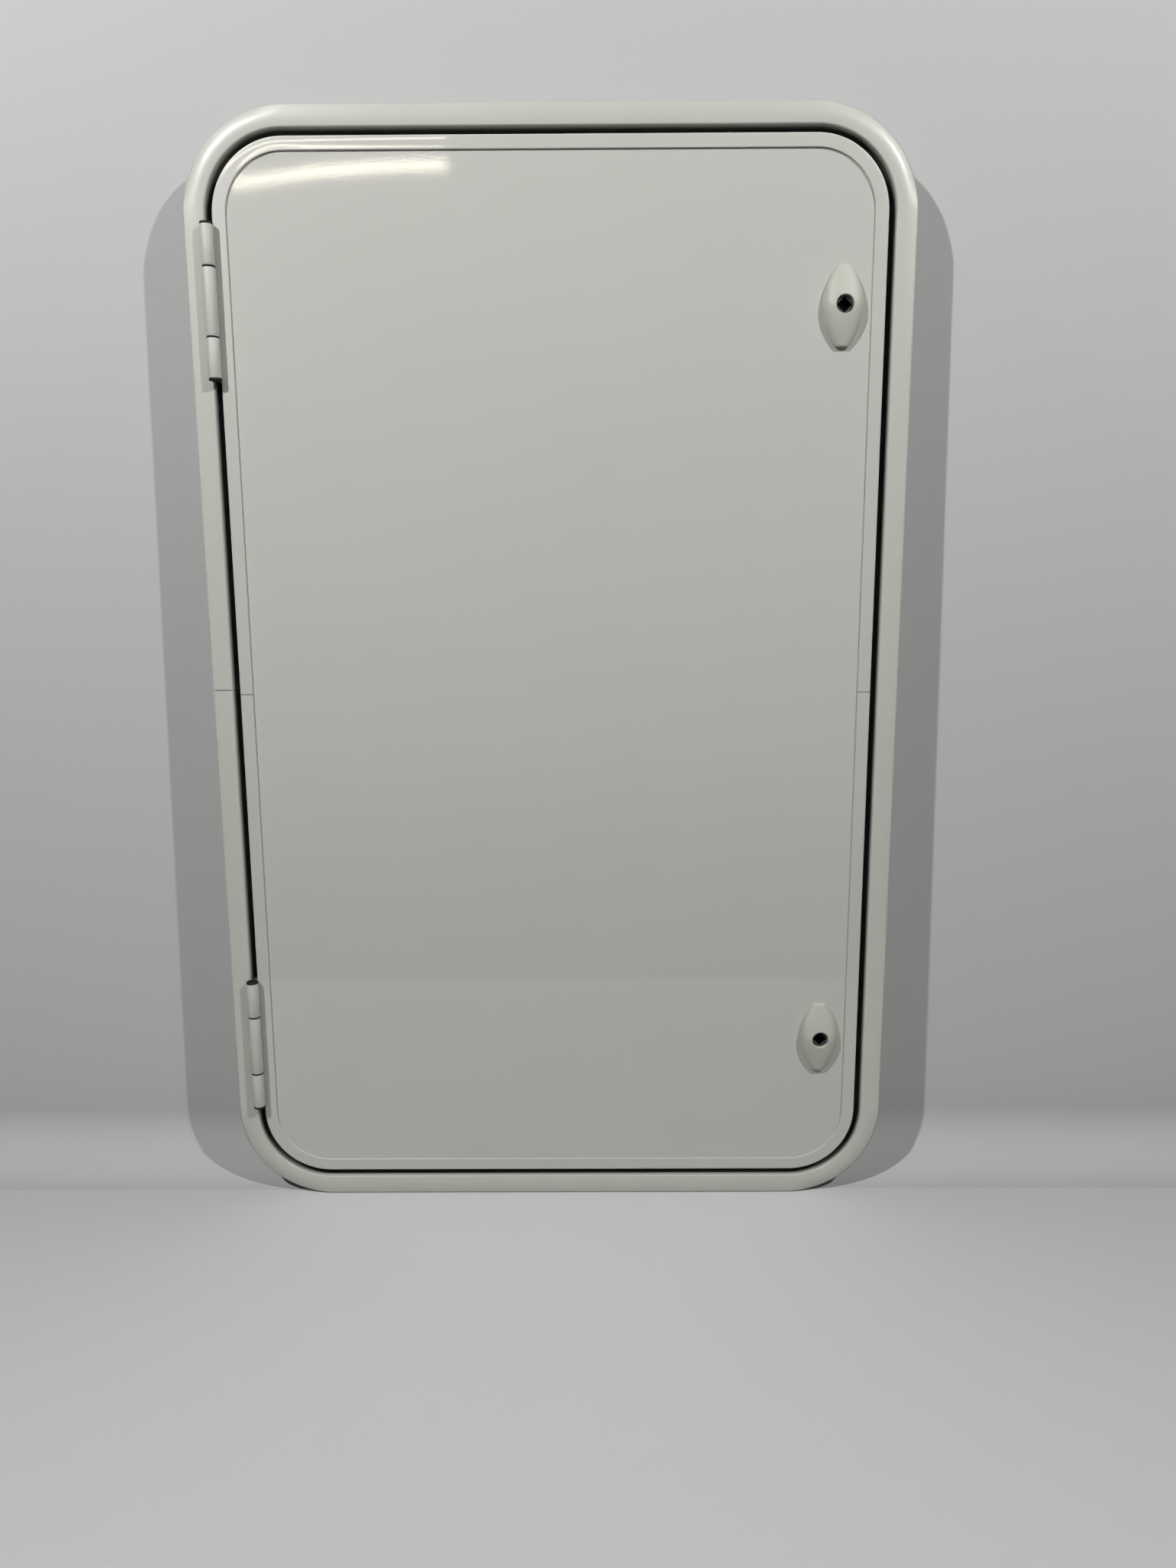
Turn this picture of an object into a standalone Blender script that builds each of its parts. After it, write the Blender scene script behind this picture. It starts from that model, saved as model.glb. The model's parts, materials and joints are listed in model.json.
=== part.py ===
"""Caravan service door, shut in its frame, with two barrel hinges and two turn locks.

Metres, +Z up. The plane Y = 0 is the outer skin of the caravan's wall, and the front of the door
looks along -Y. The origin lies on the back of the frame's flange, in the middle of the bottom rail.
"""

import math

import bmesh
import bpy
from mathutils import Matrix, Vector

# Frame: one bent aluminium section, a hollow flange outside the wall and a web through it
FRAME_WIDTH = 0.600
FRAME_HEIGHT = 0.950
FRAME_FACE = 0.018
FRAME_CORNER = 0.084
FRAME_PROUD = 0.010
FRAME_WALL = 0.0018
FRAME_SHOULDER = 0.0025
FRAME_CROWN = 0.0006
FRAME_JOINT_RISE = 0.004
FRAME_JOINT_GAP = 0.0004
FRAME_JOINER_LENGTH = 0.060
REBATE_WIDTH = 0.016
REBATE_THICKNESS = 0.002
WEB_TAIL = 0.009

# Holes for the screws that fix the web to the edge of the cut-out
FIXING_HOLE = 0.0045
FIXING_DEPTH = 0.017
TOP_FIXING_FROM_SIDE = 0.152
BOTTOM_FIXING_FROM_SIDE = 0.123
RIGHT_FIXING_FROM_END = 0.089
RIGHT_FIXING_FROM_MIDDLE = 0.129
LEFT_FIXING_FROM_HINGE = 0.108
LEFT_FIXING_FROM_MIDDLE = 0.095

# Rubber seal between the back of the leaf and the frame's rebate
SEAL_SPACE = 0.004
SEAL_WIDTH = 0.009
SEAL_SIDE = 0.0014

# Leaf: a sandwich panel held in an edge trim made of two halves
LEAF_GAP = 0.006
LEAF_THICKNESS = 0.025
TRIM_FACE = 0.0113
TRIM_LIP = 0.0016
TRIM_WALL = 0.0018
TRIM_BACK_LIP = 0.009
TRIM_INNER_ROUND = 0.0008
TRIM_JOINT_GAP = 0.0003
TRIM_JOINER_LENGTH = 0.050
TRIM_JOINER_THICKNESS = 0.0016
PANEL_EDGE_SPACE = 0.0023
SKIN_THICKNESS = 0.0012

# Both sections: rounded front edges and a slightly crowned face
EDGE_ROUND = 0.0015
TRIM_CROWN = 0.0003

# Hinges: three knuckles over the gap, on plates that stand in the gap
HINGE_FROM_END = 0.152
HINGE_AXIS_PROUD = 0.005
KNUCKLE_DIAMETER = 0.0105
KNUCKLE_MIDDLE = 0.0532
KNUCKLE_OUTER = 0.0315
KNUCKLE_SPACE = 0.0015
PIN_DIAMETER = 0.0045
CAP_THICKNESS = 0.0016
CAP_SPIGOT = 0.003
CAP_ROUND = 0.0004
PLATE_THICKNESS = 0.002
PLATE_DEPTH = 0.020
RIVET_FROM_END = 0.0196
RIVET_DEPTH = 0.0145
RIVET_SHANK = 0.0036
RIVET_HEAD = 0.0062
RIVET_TAIL = 0.0054
RIVET_TAIL_THICKNESS = 0.0012
RIVET_LAND = 0.0001

# Locks: a domed housing on the front, a turning core and a tongue behind the leaf
LOCK_FROM_END = 0.1565
LOCK_FROM_EDGE = 0.0353
HOUSING_LENGTH = 0.064
HOUSING_WIDTH = 0.0336
HOUSING_END_WIDTH = 0.0112
HOUSING_HEIGHT = 0.0118
HOUSING_END_HEIGHT = 0.0046
HOUSING_FULLNESS = 2.5
HOUSING_END_ROUND = 0.0009
KEYHOLE_DIAMETER = 0.0146
KEYHOLE_DEPTH = 0.005
BARREL_DIAMETER = 0.021
CORE_DIAMETER = 0.017
SOCKET_SIDE = 0.009
SOCKET_DEPTH = 0.016
NECK_DIAMETER = 0.012
DRIVE_SIDE = 0.007
POST_DIAMETER = 0.0075
POST_FROM_END = 0.0102
BACKPLATE_THICKNESS = 0.002
BACKPLATE_INSET = 0.0015
SCREW_SHANK = 0.0034
SCREW_HEAD = 0.007
SCREW_HEAD_HEIGHT = 0.002
SCREW_GRIP = 0.011
TONGUE_CLEARANCE = 0.001
TONGUE_THICKNESS = 0.0025
TONGUE_LENGTH = 0.036
TONGUE_HUB = 0.022
TONGUE_TIP = 0.011
TONGUE_SCREW_HEAD = 0.010
TONGUE_SCREW_GRIP = 0.012

# Gap between pieces that touch, and how far a cutting bar runs past what it cuts
FIT = 0.0003
PAST = 0.002

# Faces round curves
CORNER_STEPS = 10
ROUND_STEPS = 28
SMALL_STEPS = 12
HOUSING_STEPS_ALONG = 12
HOUSING_STEPS_ACROSS = 16
SEAL_STEPS = 6
TONGUE_STEPS = 8
SHARP_ANGLE = math.radians(35)

# Places that follow from the sizes
CENTRE_Z = (FRAME_HEIGHT - FRAME_FACE) / 2
FRONT = -FRAME_PROUD
LEAF_BACK = FRONT + LEAF_THICKNESS
REBATE_FRONT = LEAF_BACK + SEAL_SPACE
REBATE_BACK = REBATE_FRONT + REBATE_THICKNESS
WEB_END = REBATE_BACK + WEB_TAIL
WEB_HALF_WIDTH = FRAME_WIDTH / 2 - FRAME_FACE
WEB_HALF_HEIGHT = FRAME_HEIGHT / 2 - FRAME_FACE
WEB_CORNER = FRAME_CORNER - FRAME_FACE
LEAF_HALF_WIDTH = WEB_HALF_WIDTH - LEAF_GAP
LEAF_HALF_HEIGHT = WEB_HALF_HEIGHT - LEAF_GAP
LEAF_CORNER = WEB_CORNER - LEAF_GAP
PANEL_INSET = TRIM_WALL + PANEL_EDGE_SPACE
PANEL_FRONT = FRONT + TRIM_LIP + FIT
PANEL_BACK = LEAF_BACK - TRIM_LIP - FIT
HINGE_X = -(LEAF_HALF_WIDTH + LEAF_GAP / 2)
HINGE_Y = FRONT - HINGE_AXIS_PROUD
HINGE_RISE = FRAME_HEIGHT / 2 - HINGE_FROM_END
HINGE_LENGTH = KNUCKLE_MIDDLE + 2 * (KNUCKLE_SPACE + KNUCKLE_OUTER)
RIVET_RISE = HINGE_LENGTH / 2 - RIVET_FROM_END
LOCK_X = LEAF_HALF_WIDTH - LOCK_FROM_EDGE
LOCK_RISE = FRAME_HEIGHT / 2 - LOCK_FROM_END
POST_RISE = HOUSING_LENGTH / 2 - POST_FROM_END
HOUSING_BASE = PANEL_FRONT - FIT
HOUSING_TOP = HOUSING_BASE - HOUSING_HEIGHT
CORE_FRONT = HOUSING_TOP + KEYHOLE_DEPTH + FIT
BACKPLATE_FRONT = PANEL_BACK + FIT
BACKPLATE_BACK = BACKPLATE_FRONT + BACKPLATE_THICKNESS
TONGUE_FRONT = REBATE_BACK + TONGUE_CLEARANCE
TONGUE_BACK = TONGUE_FRONT + TONGUE_THICKNESS

# Turns that lay a body made along +Z along another axis
TO_BACK = Matrix.Rotation(-math.pi / 2, 4, "X")
TO_RIGHT = Matrix.Rotation(math.pi / 2, 4, "Y")
TO_LEFT = Matrix.Rotation(-math.pi / 2, 4, "Y")
UPRIGHT = Matrix.Identity(4)


def material(name, colour, roughness, metallic):
    """A plain Principled material."""
    new = bpy.data.materials.new(name)
    new.use_nodes = True
    shader = new.node_tree.nodes["Principled BSDF"]
    shader.inputs["Base Color"].default_value = (*colour, 1.0)
    shader.inputs["Roughness"].default_value = roughness
    shader.inputs["Metallic"].default_value = metallic
    return new


def finish(name, bm, look=None, parent=None):
    """Turns a bmesh into an object, smooth on its curves, on its parent's axis if it has one."""
    bmesh.ops.recalc_face_normals(bm, faces=bm.faces)
    mesh = bpy.data.meshes.new(name)
    bm.to_mesh(mesh)
    bm.free()
    mesh.shade_smooth()
    mesh.set_sharp_from_angle(angle=SHARP_ANGLE)
    obj = bpy.data.objects.new(name, mesh)
    bpy.context.scene.collection.objects.link(obj)
    if look:
        mesh.materials.append(look)
    if parent:
        obj.parent = parent
        obj.matrix_parent_inverse = parent.matrix_world.inverted()
    return obj


def pivot(name, place, parent=None):
    """An empty on a joint's axis."""
    empty = bpy.data.objects.new(name, None)
    empty.empty_display_size = 0.02
    empty.location = place
    bpy.context.scene.collection.objects.link(empty)
    bpy.context.view_layer.update()
    if parent:
        empty.parent = parent
        empty.matrix_parent_inverse = parent.matrix_world.inverted()
        bpy.context.view_layer.update()
    return empty


def combine(obj, tool, operation):
    """Cuts or joins with a tool body, which stays in the file as a wire guide."""
    tool.hide_render = True
    tool.display_type = "WIRE"
    step = obj.modifiers.new(tool.name, "BOOLEAN")
    step.operation = operation
    step.solver = "EXACT"
    step.object = tool


def arc(out, back, radius, start, end, steps):
    """Points on a circle of a section, from one angle to another in degrees."""
    angles = [math.radians(start + (end - start) * i / steps) for i in range(steps + 1)]
    return [(out + radius * math.cos(a), back + radius * math.sin(a)) for a in angles]


def crown(start, end, back, rise, steps):
    """Inner points of a slightly raised face between two places on it."""
    shares = [i / steps for i in range(1, steps)]
    return [(start + (end - start) * t, back - rise * 4 * t * (1 - t)) for t in shares]


def side_station(half_width, side, rise):
    """One station on an upright side: -1 is the left side and 1 the right one."""
    return (side * half_width, CENTRE_Z + rise, side, 0.0)


def corner_stations(half_width, half_height, radius, right, top):
    """Stations round one corner, clockwise as seen from the front."""
    start = {(-1, 1): 180, (1, 1): 90, (1, -1): 0, (-1, -1): -90}[(right, top)]
    stations = []
    for i in range(CORNER_STEPS + 1):
        angle = math.radians(start - 90 * i / CORNER_STEPS)
        nx = math.cos(angle)
        nz = math.sin(angle)
        x = right * (half_width - radius) + nx * radius
        z = CENTRE_Z + top * (half_height - radius) + nz * radius
        stations.append((x, z, nx, nz))
    return stations


def ring_stations(half_width, half_height, radius):
    """Stations all round a rounded rectangle, from the top left corner to the bottom left one."""
    corners = ((-1, 1), (1, 1), (1, -1), (-1, -1))
    return [s for c in corners for s in corner_stations(half_width, half_height, radius, *c)]


def sweep(name, section, stations, closed, look=None, parent=None):
    """Carries a section of (outward, back) points along the stations of an outline."""
    bm = bmesh.new()
    rings = []
    for x, z, nx, nz in stations:
        rings.append([bm.verts.new((x + nx * out, back, z + nz * out)) for out, back in section])
    spans = len(rings) if closed else len(rings) - 1
    for i in range(spans):
        here = rings[i]
        there = rings[(i + 1) % len(rings)]
        for j in range(len(section)):
            k = (j + 1) % len(section)
            bm.faces.new((here[j], here[k], there[k], there[j]))
    if not closed:
        bm.faces.new(rings[0])
        bm.faces.new(rings[-1])
    return finish(name, bm, look, parent)


def slab(bm, points, travel):
    """Adds a flat outline of 3-D points, extruded by a vector."""
    face = bm.faces.new([bm.verts.new(p) for p in points])
    grown = bmesh.ops.extrude_face_region(bm, geom=[face], use_keep_orig=True)
    moved = [v for v in grown["geom"] if isinstance(v, bmesh.types.BMVert)]
    bmesh.ops.translate(bm, verts=moved, vec=travel)


def turned(bm, profile, place, steps=ROUND_STEPS):
    """Adds a round body, from (radius, height) points that start and end on the axis or close up."""
    part = bmesh.new()
    verts = [part.verts.new((radius, 0, height)) for radius, height in profile]
    edges = [part.edges.new(pair) for pair in zip(verts, verts[1:])]
    if profile[0][0] > 0:
        edges.append(part.edges.new((verts[-1], verts[0])))
    bmesh.ops.spin(part, geom=verts + edges, cent=(0, 0, 0), axis=(0, 0, 1), angle=2 * math.pi, steps=steps,
                   use_merge=True, use_duplicate=False)
    bmesh.ops.remove_doubles(part, verts=part.verts, dist=1e-7)
    bmesh.ops.transform(part, matrix=place, verts=part.verts)
    copy = bpy.data.meshes.new("turned")
    part.to_mesh(copy)
    part.free()
    bm.from_mesh(copy)
    bpy.data.meshes.remove(copy)


def rod(radius, start, end):
    """Profile of a plain round bar between two heights."""
    return [(0, start), (radius, start), (radius, end), (0, end)]


def tube(inner, outer, start, end):
    """Profile of a plain ring between two heights."""
    return [(inner, start), (outer, start), (outer, end), (inner, end)]


def rods(name, places, radius, start, end, turn, steps=SMALL_STEPS):
    """One guide object of several equal bars, each at a place and laid along an axis."""
    bm = bmesh.new()
    for place in places:
        turned(bm, rod(radius, start, end), Matrix.Translation(place) @ turn, steps)
    return finish(name, bm)


def square_bar(bm, side, start, end, twist, place):
    """Adds a square bar along the leaf's depth at a place on its front."""
    corners = [Vector((x * side / 2, 0, z * side / 2)) for x, z in ((-1, -1), (1, -1), (1, 1), (-1, 1))]
    turn = Matrix.Rotation(twist, 3, "Y")
    base = Vector((place[0], start, place[1]))
    slab(bm, [base + turn @ c for c in corners], (0, end - start, 0))


def frame_section():
    """Section of the frame, outward from the side of the web that faces the gap."""
    points = arc(EDGE_ROUND, FRONT + EDGE_ROUND, EDGE_ROUND, 180, 270, 2)
    points += crown(EDGE_ROUND, FRAME_FACE - FRAME_SHOULDER, FRONT, FRAME_CROWN, 3)
    points += arc(FRAME_FACE - FRAME_SHOULDER, FRONT + FRAME_SHOULDER, FRAME_SHOULDER, 270, 360, 4)
    points += [(FRAME_FACE, 0), (FRAME_WALL, 0), (FRAME_WALL, WEB_END), (0, WEB_END)]
    points += [(0, REBATE_BACK), (-REBATE_WIDTH, REBATE_BACK)]
    points += [(-REBATE_WIDTH, REBATE_FRONT), (0, REBATE_FRONT)]
    return points


def chamber_section():
    """Section of the hollow inside the flange."""
    inner = FRAME_WALL
    outer = FRAME_FACE - FRAME_WALL
    front = FRONT + FRAME_WALL
    back = -FRAME_WALL
    bend = FRAME_SHOULDER - FRAME_WALL
    return [(inner, front), (outer - bend, front), (outer, front + bend), (outer, back), (inner, back)]


def trim_section():
    """Section of the leaf's edge trim, a channel that holds the edge of the panel."""
    inner = -TRIM_FACE + TRIM_INNER_ROUND
    points = arc(-EDGE_ROUND, FRONT + EDGE_ROUND, EDGE_ROUND, 0, -90, 2)
    points += crown(-EDGE_ROUND, inner, FRONT, TRIM_CROWN, 3)
    points += arc(inner, FRONT + TRIM_INNER_ROUND, TRIM_INNER_ROUND, 270, 180, 1)
    points += [(-TRIM_FACE, FRONT + TRIM_LIP), (-TRIM_WALL, FRONT + TRIM_LIP)]
    points += [(-TRIM_WALL, LEAF_BACK - TRIM_LIP), (-TRIM_BACK_LIP, LEAF_BACK - TRIM_LIP)]
    points += [(-TRIM_BACK_LIP, LEAF_BACK)]
    points += arc(-TRIM_INNER_ROUND, LEAF_BACK - TRIM_INNER_ROUND, TRIM_INNER_ROUND, 90, 0, 1)
    return points


def seal_section():
    """Section of the seal: a flat foot on the rebate and a domed back towards the leaf."""
    middle = -REBATE_WIDTH / 2 - FIT
    foot = REBATE_FRONT - FIT
    shoulder = foot - SEAL_SIDE
    rise = shoulder - LEAF_BACK - FIT
    half = SEAL_WIDTH / 2
    points = [(middle + half, foot)]
    for i in range(SEAL_STEPS + 1):
        angle = math.pi * i / SEAL_STEPS
        points.append((middle + half * math.cos(angle), shoulder - rise * math.sin(angle)))
    points.append((middle - half, foot))
    return points


def build_frame(paint, rubber, mill):
    """The frame with its butt joint on the left side, the joiner inside it and the seal."""
    web = (WEB_HALF_WIDTH, WEB_HALF_HEIGHT, WEB_CORNER)
    first = side_station(WEB_HALF_WIDTH, -1, FRAME_JOINT_RISE + FRAME_JOINT_GAP / 2)
    last = side_station(WEB_HALF_WIDTH, -1, FRAME_JOINT_RISE - FRAME_JOINT_GAP / 2)
    frame = sweep("frame", frame_section(), [first] + ring_stations(*web) + [last], False, paint)
    chamber = sweep("frame_chamber_cutter", chamber_section(), ring_stations(*web), True)
    combine(frame, chamber, "DIFFERENCE")
    combine(frame, fixing_holes(), "DIFFERENCE")
    places = rivet_places(-WEB_HALF_WIDTH)
    hole = RIVET_SHANK / 2 + FIT
    holes = rods("frame_rivet_holes_cutter", places, hole, -PAST, FRAME_WALL + PAST, TO_LEFT)
    combine(frame, holes, "DIFFERENCE")

    bar = bmesh.new()
    outer = FRAME_FACE - FRAME_SHOULDER
    corners = ((FRAME_WALL + FIT, FRONT + FRAME_WALL + FIT), (outer, FRONT + FRAME_WALL + FIT),
               (outer, -FRAME_WALL - FIT), (FRAME_WALL + FIT, -FRAME_WALL - FIT))
    low = CENTRE_Z + FRAME_JOINT_RISE - FRAME_JOINER_LENGTH / 2
    slab(bar, [(-WEB_HALF_WIDTH - out, back, low) for out, back in corners], (0, 0, FRAME_JOINER_LENGTH))
    finish("frame_joiner", bar, mill)
    sweep("frame_seal", seal_section(), ring_stations(*web), True, rubber)


def fixing_holes():
    """Bars that cut the screw holes all round the web."""
    back = FRONT + FIXING_DEPTH
    left_rises = (LEFT_FIXING_FROM_MIDDLE, HINGE_RISE - LEFT_FIXING_FROM_HINGE)
    right_rises = (RIGHT_FIXING_FROM_MIDDLE, FRAME_HEIGHT / 2 - RIGHT_FIXING_FROM_END)
    top_shift = FRAME_WIDTH / 2 - TOP_FIXING_FROM_SIDE
    bottom_shift = FRAME_WIDTH / 2 - BOTTOM_FIXING_FROM_SIDE
    upside_down = Matrix.Rotation(math.pi, 4, "X")
    length = rod(FIXING_HOLE / 2, -PAST, FRAME_WALL + PAST)
    bm = bmesh.new()
    for end in (-1, 1):
        places = [(-WEB_HALF_WIDTH, end * rise, TO_LEFT) for rise in left_rises]
        places += [(WEB_HALF_WIDTH, end * rise, TO_RIGHT) for rise in right_rises]
        places += [(end * top_shift, WEB_HALF_HEIGHT, UPRIGHT)]
        places += [(end * bottom_shift, -WEB_HALF_HEIGHT, upside_down)]
        for x, rise, turn in places:
            turned(bm, length, Matrix.Translation((x, back, CENTRE_Z + rise)) @ turn, SMALL_STEPS)
    return finish("fixing_holes_cutter", bm)


def build_leaf(door, paint, gloss, foam, mill):
    """The leaf: two trim halves with joiners, and the panel's two skins on a foam core."""
    leaf = (LEAF_HALF_WIDTH, LEAF_HALF_HEIGHT, LEAF_CORNER)
    half_gap = TRIM_JOINT_GAP / 2
    for name, top in (("door_trim_upper", 1), ("door_trim_lower", -1)):
        stations = [side_station(LEAF_HALF_WIDTH, -top, top * half_gap)]
        stations += corner_stations(*leaf, -top, top)
        stations += corner_stations(*leaf, top, top)
        stations += [side_station(LEAF_HALF_WIDTH, top, top * half_gap)]
        trim = sweep(name, trim_section(), stations, False, paint, door)
        places = [p for p in rivet_places(-LEAF_HALF_WIDTH) if (p[2] - CENTRE_Z) * top > 0]
        hole = RIVET_SHANK / 2 + FIT
        holes = rods(name + "_rivet_cutter", places, hole, -PAST, TRIM_WALL + PAST, TO_RIGHT)
        combine(trim, holes, "DIFFERENCE")
    for name, side in (("door_trim_joiner_left", -1), ("door_trim_joiner_right", 1)):
        bm = bmesh.new()
        outer = side * (LEAF_HALF_WIDTH - TRIM_WALL - FIT)
        inner = outer - side * TRIM_JOINER_THICKNESS
        low = CENTRE_Z - TRIM_JOINER_LENGTH / 2
        corners = ((outer, PANEL_FRONT), (inner, PANEL_FRONT), (inner, PANEL_BACK), (outer, PANEL_BACK))
        slab(bm, [(x, y, low) for x, y in corners], (0, 0, TRIM_JOINER_LENGTH))
        finish(name, bm, mill, door)

    layers = (("door_skin_outer", PANEL_FRONT, PANEL_FRONT + SKIN_THICKNESS, gloss),
              ("door_core", PANEL_FRONT + SKIN_THICKNESS + FIT, PANEL_BACK - SKIN_THICKNESS - FIT, foam),
              ("door_skin_inner", PANEL_BACK - SKIN_THICKNESS, PANEL_BACK, gloss))
    outline = ring_stations(*(size - PANEL_INSET for size in leaf))
    for name, front, back, look in layers:
        bm = bmesh.new()
        slab(bm, [(x, front, z) for x, z, _, _ in outline], (0, back - front, 0))
        layer = finish(name, bm, look, door)
        combine(layer, lock_holes(name), "DIFFERENCE")


def lock_rises():
    """Names and heights of the two locks."""
    return (("upper", CENTRE_Z + LOCK_RISE), ("lower", CENTRE_Z - LOCK_RISE))


def lock_holes(layer):
    """Bars that cut the panel for each housing's barrel and its two posts."""
    bm = bmesh.new()
    start = PANEL_FRONT - PAST
    end = PANEL_BACK + PAST
    for _, rise in lock_rises():
        parts = ((0, BARREL_DIAMETER, ROUND_STEPS), (POST_RISE, POST_DIAMETER, SMALL_STEPS),
                 (-POST_RISE, POST_DIAMETER, SMALL_STEPS))
        for shift, diameter, steps in parts:
            place = Matrix.Translation((LOCK_X, 0, rise + shift)) @ TO_BACK
            turned(bm, rod(diameter / 2 + FIT, start, end), place, steps)
    return finish(layer + "_lock_cutter", bm)


def hinge_rises():
    """Names and heights of the two hinges."""
    return (("upper", CENTRE_Z + HINGE_RISE), ("lower", CENTRE_Z - HINGE_RISE))


def rivet_places(side_x):
    """Places of the hinge rivets on an upright wall at side_x."""
    shifts = (-RIVET_RISE, RIVET_RISE)
    return [(side_x, FRONT + RIVET_DEPTH, rise + shift) for _, rise in hinge_rises() for shift in shifts]


def hinge_plate(name, near, far, rise, knuckles, look, parent):
    """One hinge leaf: a plate in the gap, cut like a comb, that carries its knuckles on the axis."""
    radius = KNUCKLE_DIAMETER / 2
    bore = PIN_DIAMETER / 2 + FIT
    rear = HINGE_Y + radius + FIT
    root = HINGE_Y + (radius + bore) / 2
    end = FRONT + PLATE_DEPTH
    outline = [(end, -HINGE_LENGTH / 2), (rear, -HINGE_LENGTH / 2)]
    for low, high in knuckles:
        outline += [(rear, low), (root, low), (root, high), (rear, high)]
    outline += [(rear, HINGE_LENGTH / 2), (end, HINGE_LENGTH / 2)]
    kept = [p for i, p in enumerate(outline) if p != outline[i - 1]]
    bm = bmesh.new()
    slab(bm, [(near, back, rise + height) for back, height in kept], (far - near, 0, 0))
    plate = finish(name, bm, look, parent)

    centre = Matrix.Translation((HINGE_X, HINGE_Y, rise))
    for i, (low, high) in enumerate(knuckles):
        barrel = bmesh.new()
        turned(barrel, rod(radius, low, high), centre)
        combine(plate, finish(f"{name}_knuckle_{i}_guide", barrel), "UNION")
    bore_bar = bmesh.new()
    turned(bore_bar, rod(bore, -HINGE_LENGTH, HINGE_LENGTH), centre, SMALL_STEPS)
    combine(plate, finish(name + "_bore_cutter", bore_bar), "DIFFERENCE")

    turn = TO_RIGHT if far > near else TO_LEFT
    sink = bmesh.new()
    for shift in (-RIVET_RISE, RIVET_RISE):
        place = Matrix.Translation((near, FRONT + RIVET_DEPTH, rise + shift)) @ turn
        turned(sink, countersink_profile(), place, SMALL_STEPS)
    combine(plate, finish(name + "_sink_cutter", sink), "DIFFERENCE")


def countersink_profile():
    """Profile of the hole and countersink for one rivet, from the plate's open face."""
    mouth = RIVET_HEAD / 2 + FIT
    hole = RIVET_SHANK / 2 + FIT
    end = PLATE_THICKNESS + PAST
    return [(0, -PAST), (mouth, -PAST), (mouth, 0), (hole, mouth - hole), (hole, end), (0, end)]


def rivet_profile(grip):
    """Profile of one rivet: a flush head, the shank and the closed tail behind the wall that it grips."""
    head = RIVET_HEAD / 2
    shank = RIVET_SHANK / 2
    tail = grip + FIT
    land = RIVET_LAND
    end = tail + RIVET_TAIL_THICKNESS
    return [(0, land), (head, land), (head, land + land), (shank, land + land + head - shank),
            (shank, tail), (RIVET_TAIL / 2, tail), (RIVET_TAIL / 2, end), (0, end)]


def build_hinges(door, paint, black, steel):
    """Both hinges, with their pins, washers, end caps and rivets."""
    middle = KNUCKLE_MIDDLE / 2
    inner = middle + KNUCKLE_SPACE
    outer = HINGE_LENGTH / 2
    radius = KNUCKLE_DIAMETER / 2
    pin = PIN_DIAMETER / 2
    pin_end = outer - CAP_SPIGOT - FIT
    frame_near = -WEB_HALF_WIDTH + FIT + PLATE_THICKNESS
    door_near = -LEAF_HALF_WIDTH - FIT - PLATE_THICKNESS
    for name, rise in hinge_rises():
        prefix = "hinge_" + name
        hinge_plate(prefix + "_frame_leaf", frame_near, frame_near - PLATE_THICKNESS, rise,
                    ((-outer, -inner), (inner, outer)), paint, None)
        hinge_plate(prefix + "_door_leaf", door_near, door_near + PLATE_THICKNESS, rise,
                    ((-middle, middle),), paint, door)
        centre = Matrix.Translation((HINGE_X, HINGE_Y, rise))
        bm = bmesh.new()
        turned(bm, rod(pin, -pin_end, pin_end), centre, SMALL_STEPS)
        finish(prefix + "_pin", bm, steel)
        for end, sign in (("top", 1), ("bottom", -1)):
            flip = centre if sign > 0 else centre @ Matrix.Rotation(math.pi, 4, "X")
            bm = bmesh.new()
            turned(bm, tube(pin + FIT, radius, middle + FIT, inner - FIT), flip)
            finish(f"{prefix}_washer_{end}", bm, black)
            bm = bmesh.new()
            foot = outer + FIT
            head = foot + CAP_THICKNESS
            profile = [(0, outer - CAP_SPIGOT), (pin, outer - CAP_SPIGOT), (pin, foot), (radius, foot),
                       (radius, head - CAP_ROUND), (radius - CAP_ROUND, head), (0, head)]
            turned(bm, profile, flip)
            finish(f"{prefix}_cap_{end}", bm, black)
            depth = FRONT + RIVET_DEPTH
            height = rise + sign * RIVET_RISE
            bm = bmesh.new()
            grip = PLATE_THICKNESS + FIT + FRAME_WALL
            place = Matrix.Translation((frame_near, depth, height)) @ TO_LEFT
            turned(bm, rivet_profile(grip), place, SMALL_STEPS)
            finish(f"{prefix}_frame_rivet_{end}", bm, steel)
            bm = bmesh.new()
            grip = PLATE_THICKNESS + FIT + TRIM_WALL
            place = Matrix.Translation((door_near, depth, height)) @ TO_RIGHT
            turned(bm, rivet_profile(grip), place, SMALL_STEPS)
            finish(f"{prefix}_door_rivet_{end}", bm, steel, door)


def lens_half_width(along, half_width, half_length, end_half_width):
    """Half the width of a lens with cut ends, whose sides are circular arcs."""
    sagitta = half_width - end_half_width
    radius = (half_length ** 2 + sagitta ** 2) / (2 * sagitta)
    return half_width - radius + math.sqrt(radius ** 2 - along ** 2)


def housing_stations():
    """Places along the housing's length, with how much each is drawn in to round the ends."""
    half = HOUSING_LENGTH / 2
    body = half - HOUSING_END_ROUND
    steps = HOUSING_STEPS_ALONG
    stations = [(body * (2 * i / steps - 1), 0.0) for i in range(steps + 1)]
    for turn in (45, 90):
        reach = HOUSING_END_ROUND * math.sin(math.radians(turn))
        drawn = HOUSING_END_ROUND * (1 - math.cos(math.radians(turn)))
        stations = [(-body - reach, drawn)] + stations + [(body + reach, drawn)]
    return stations


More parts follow.
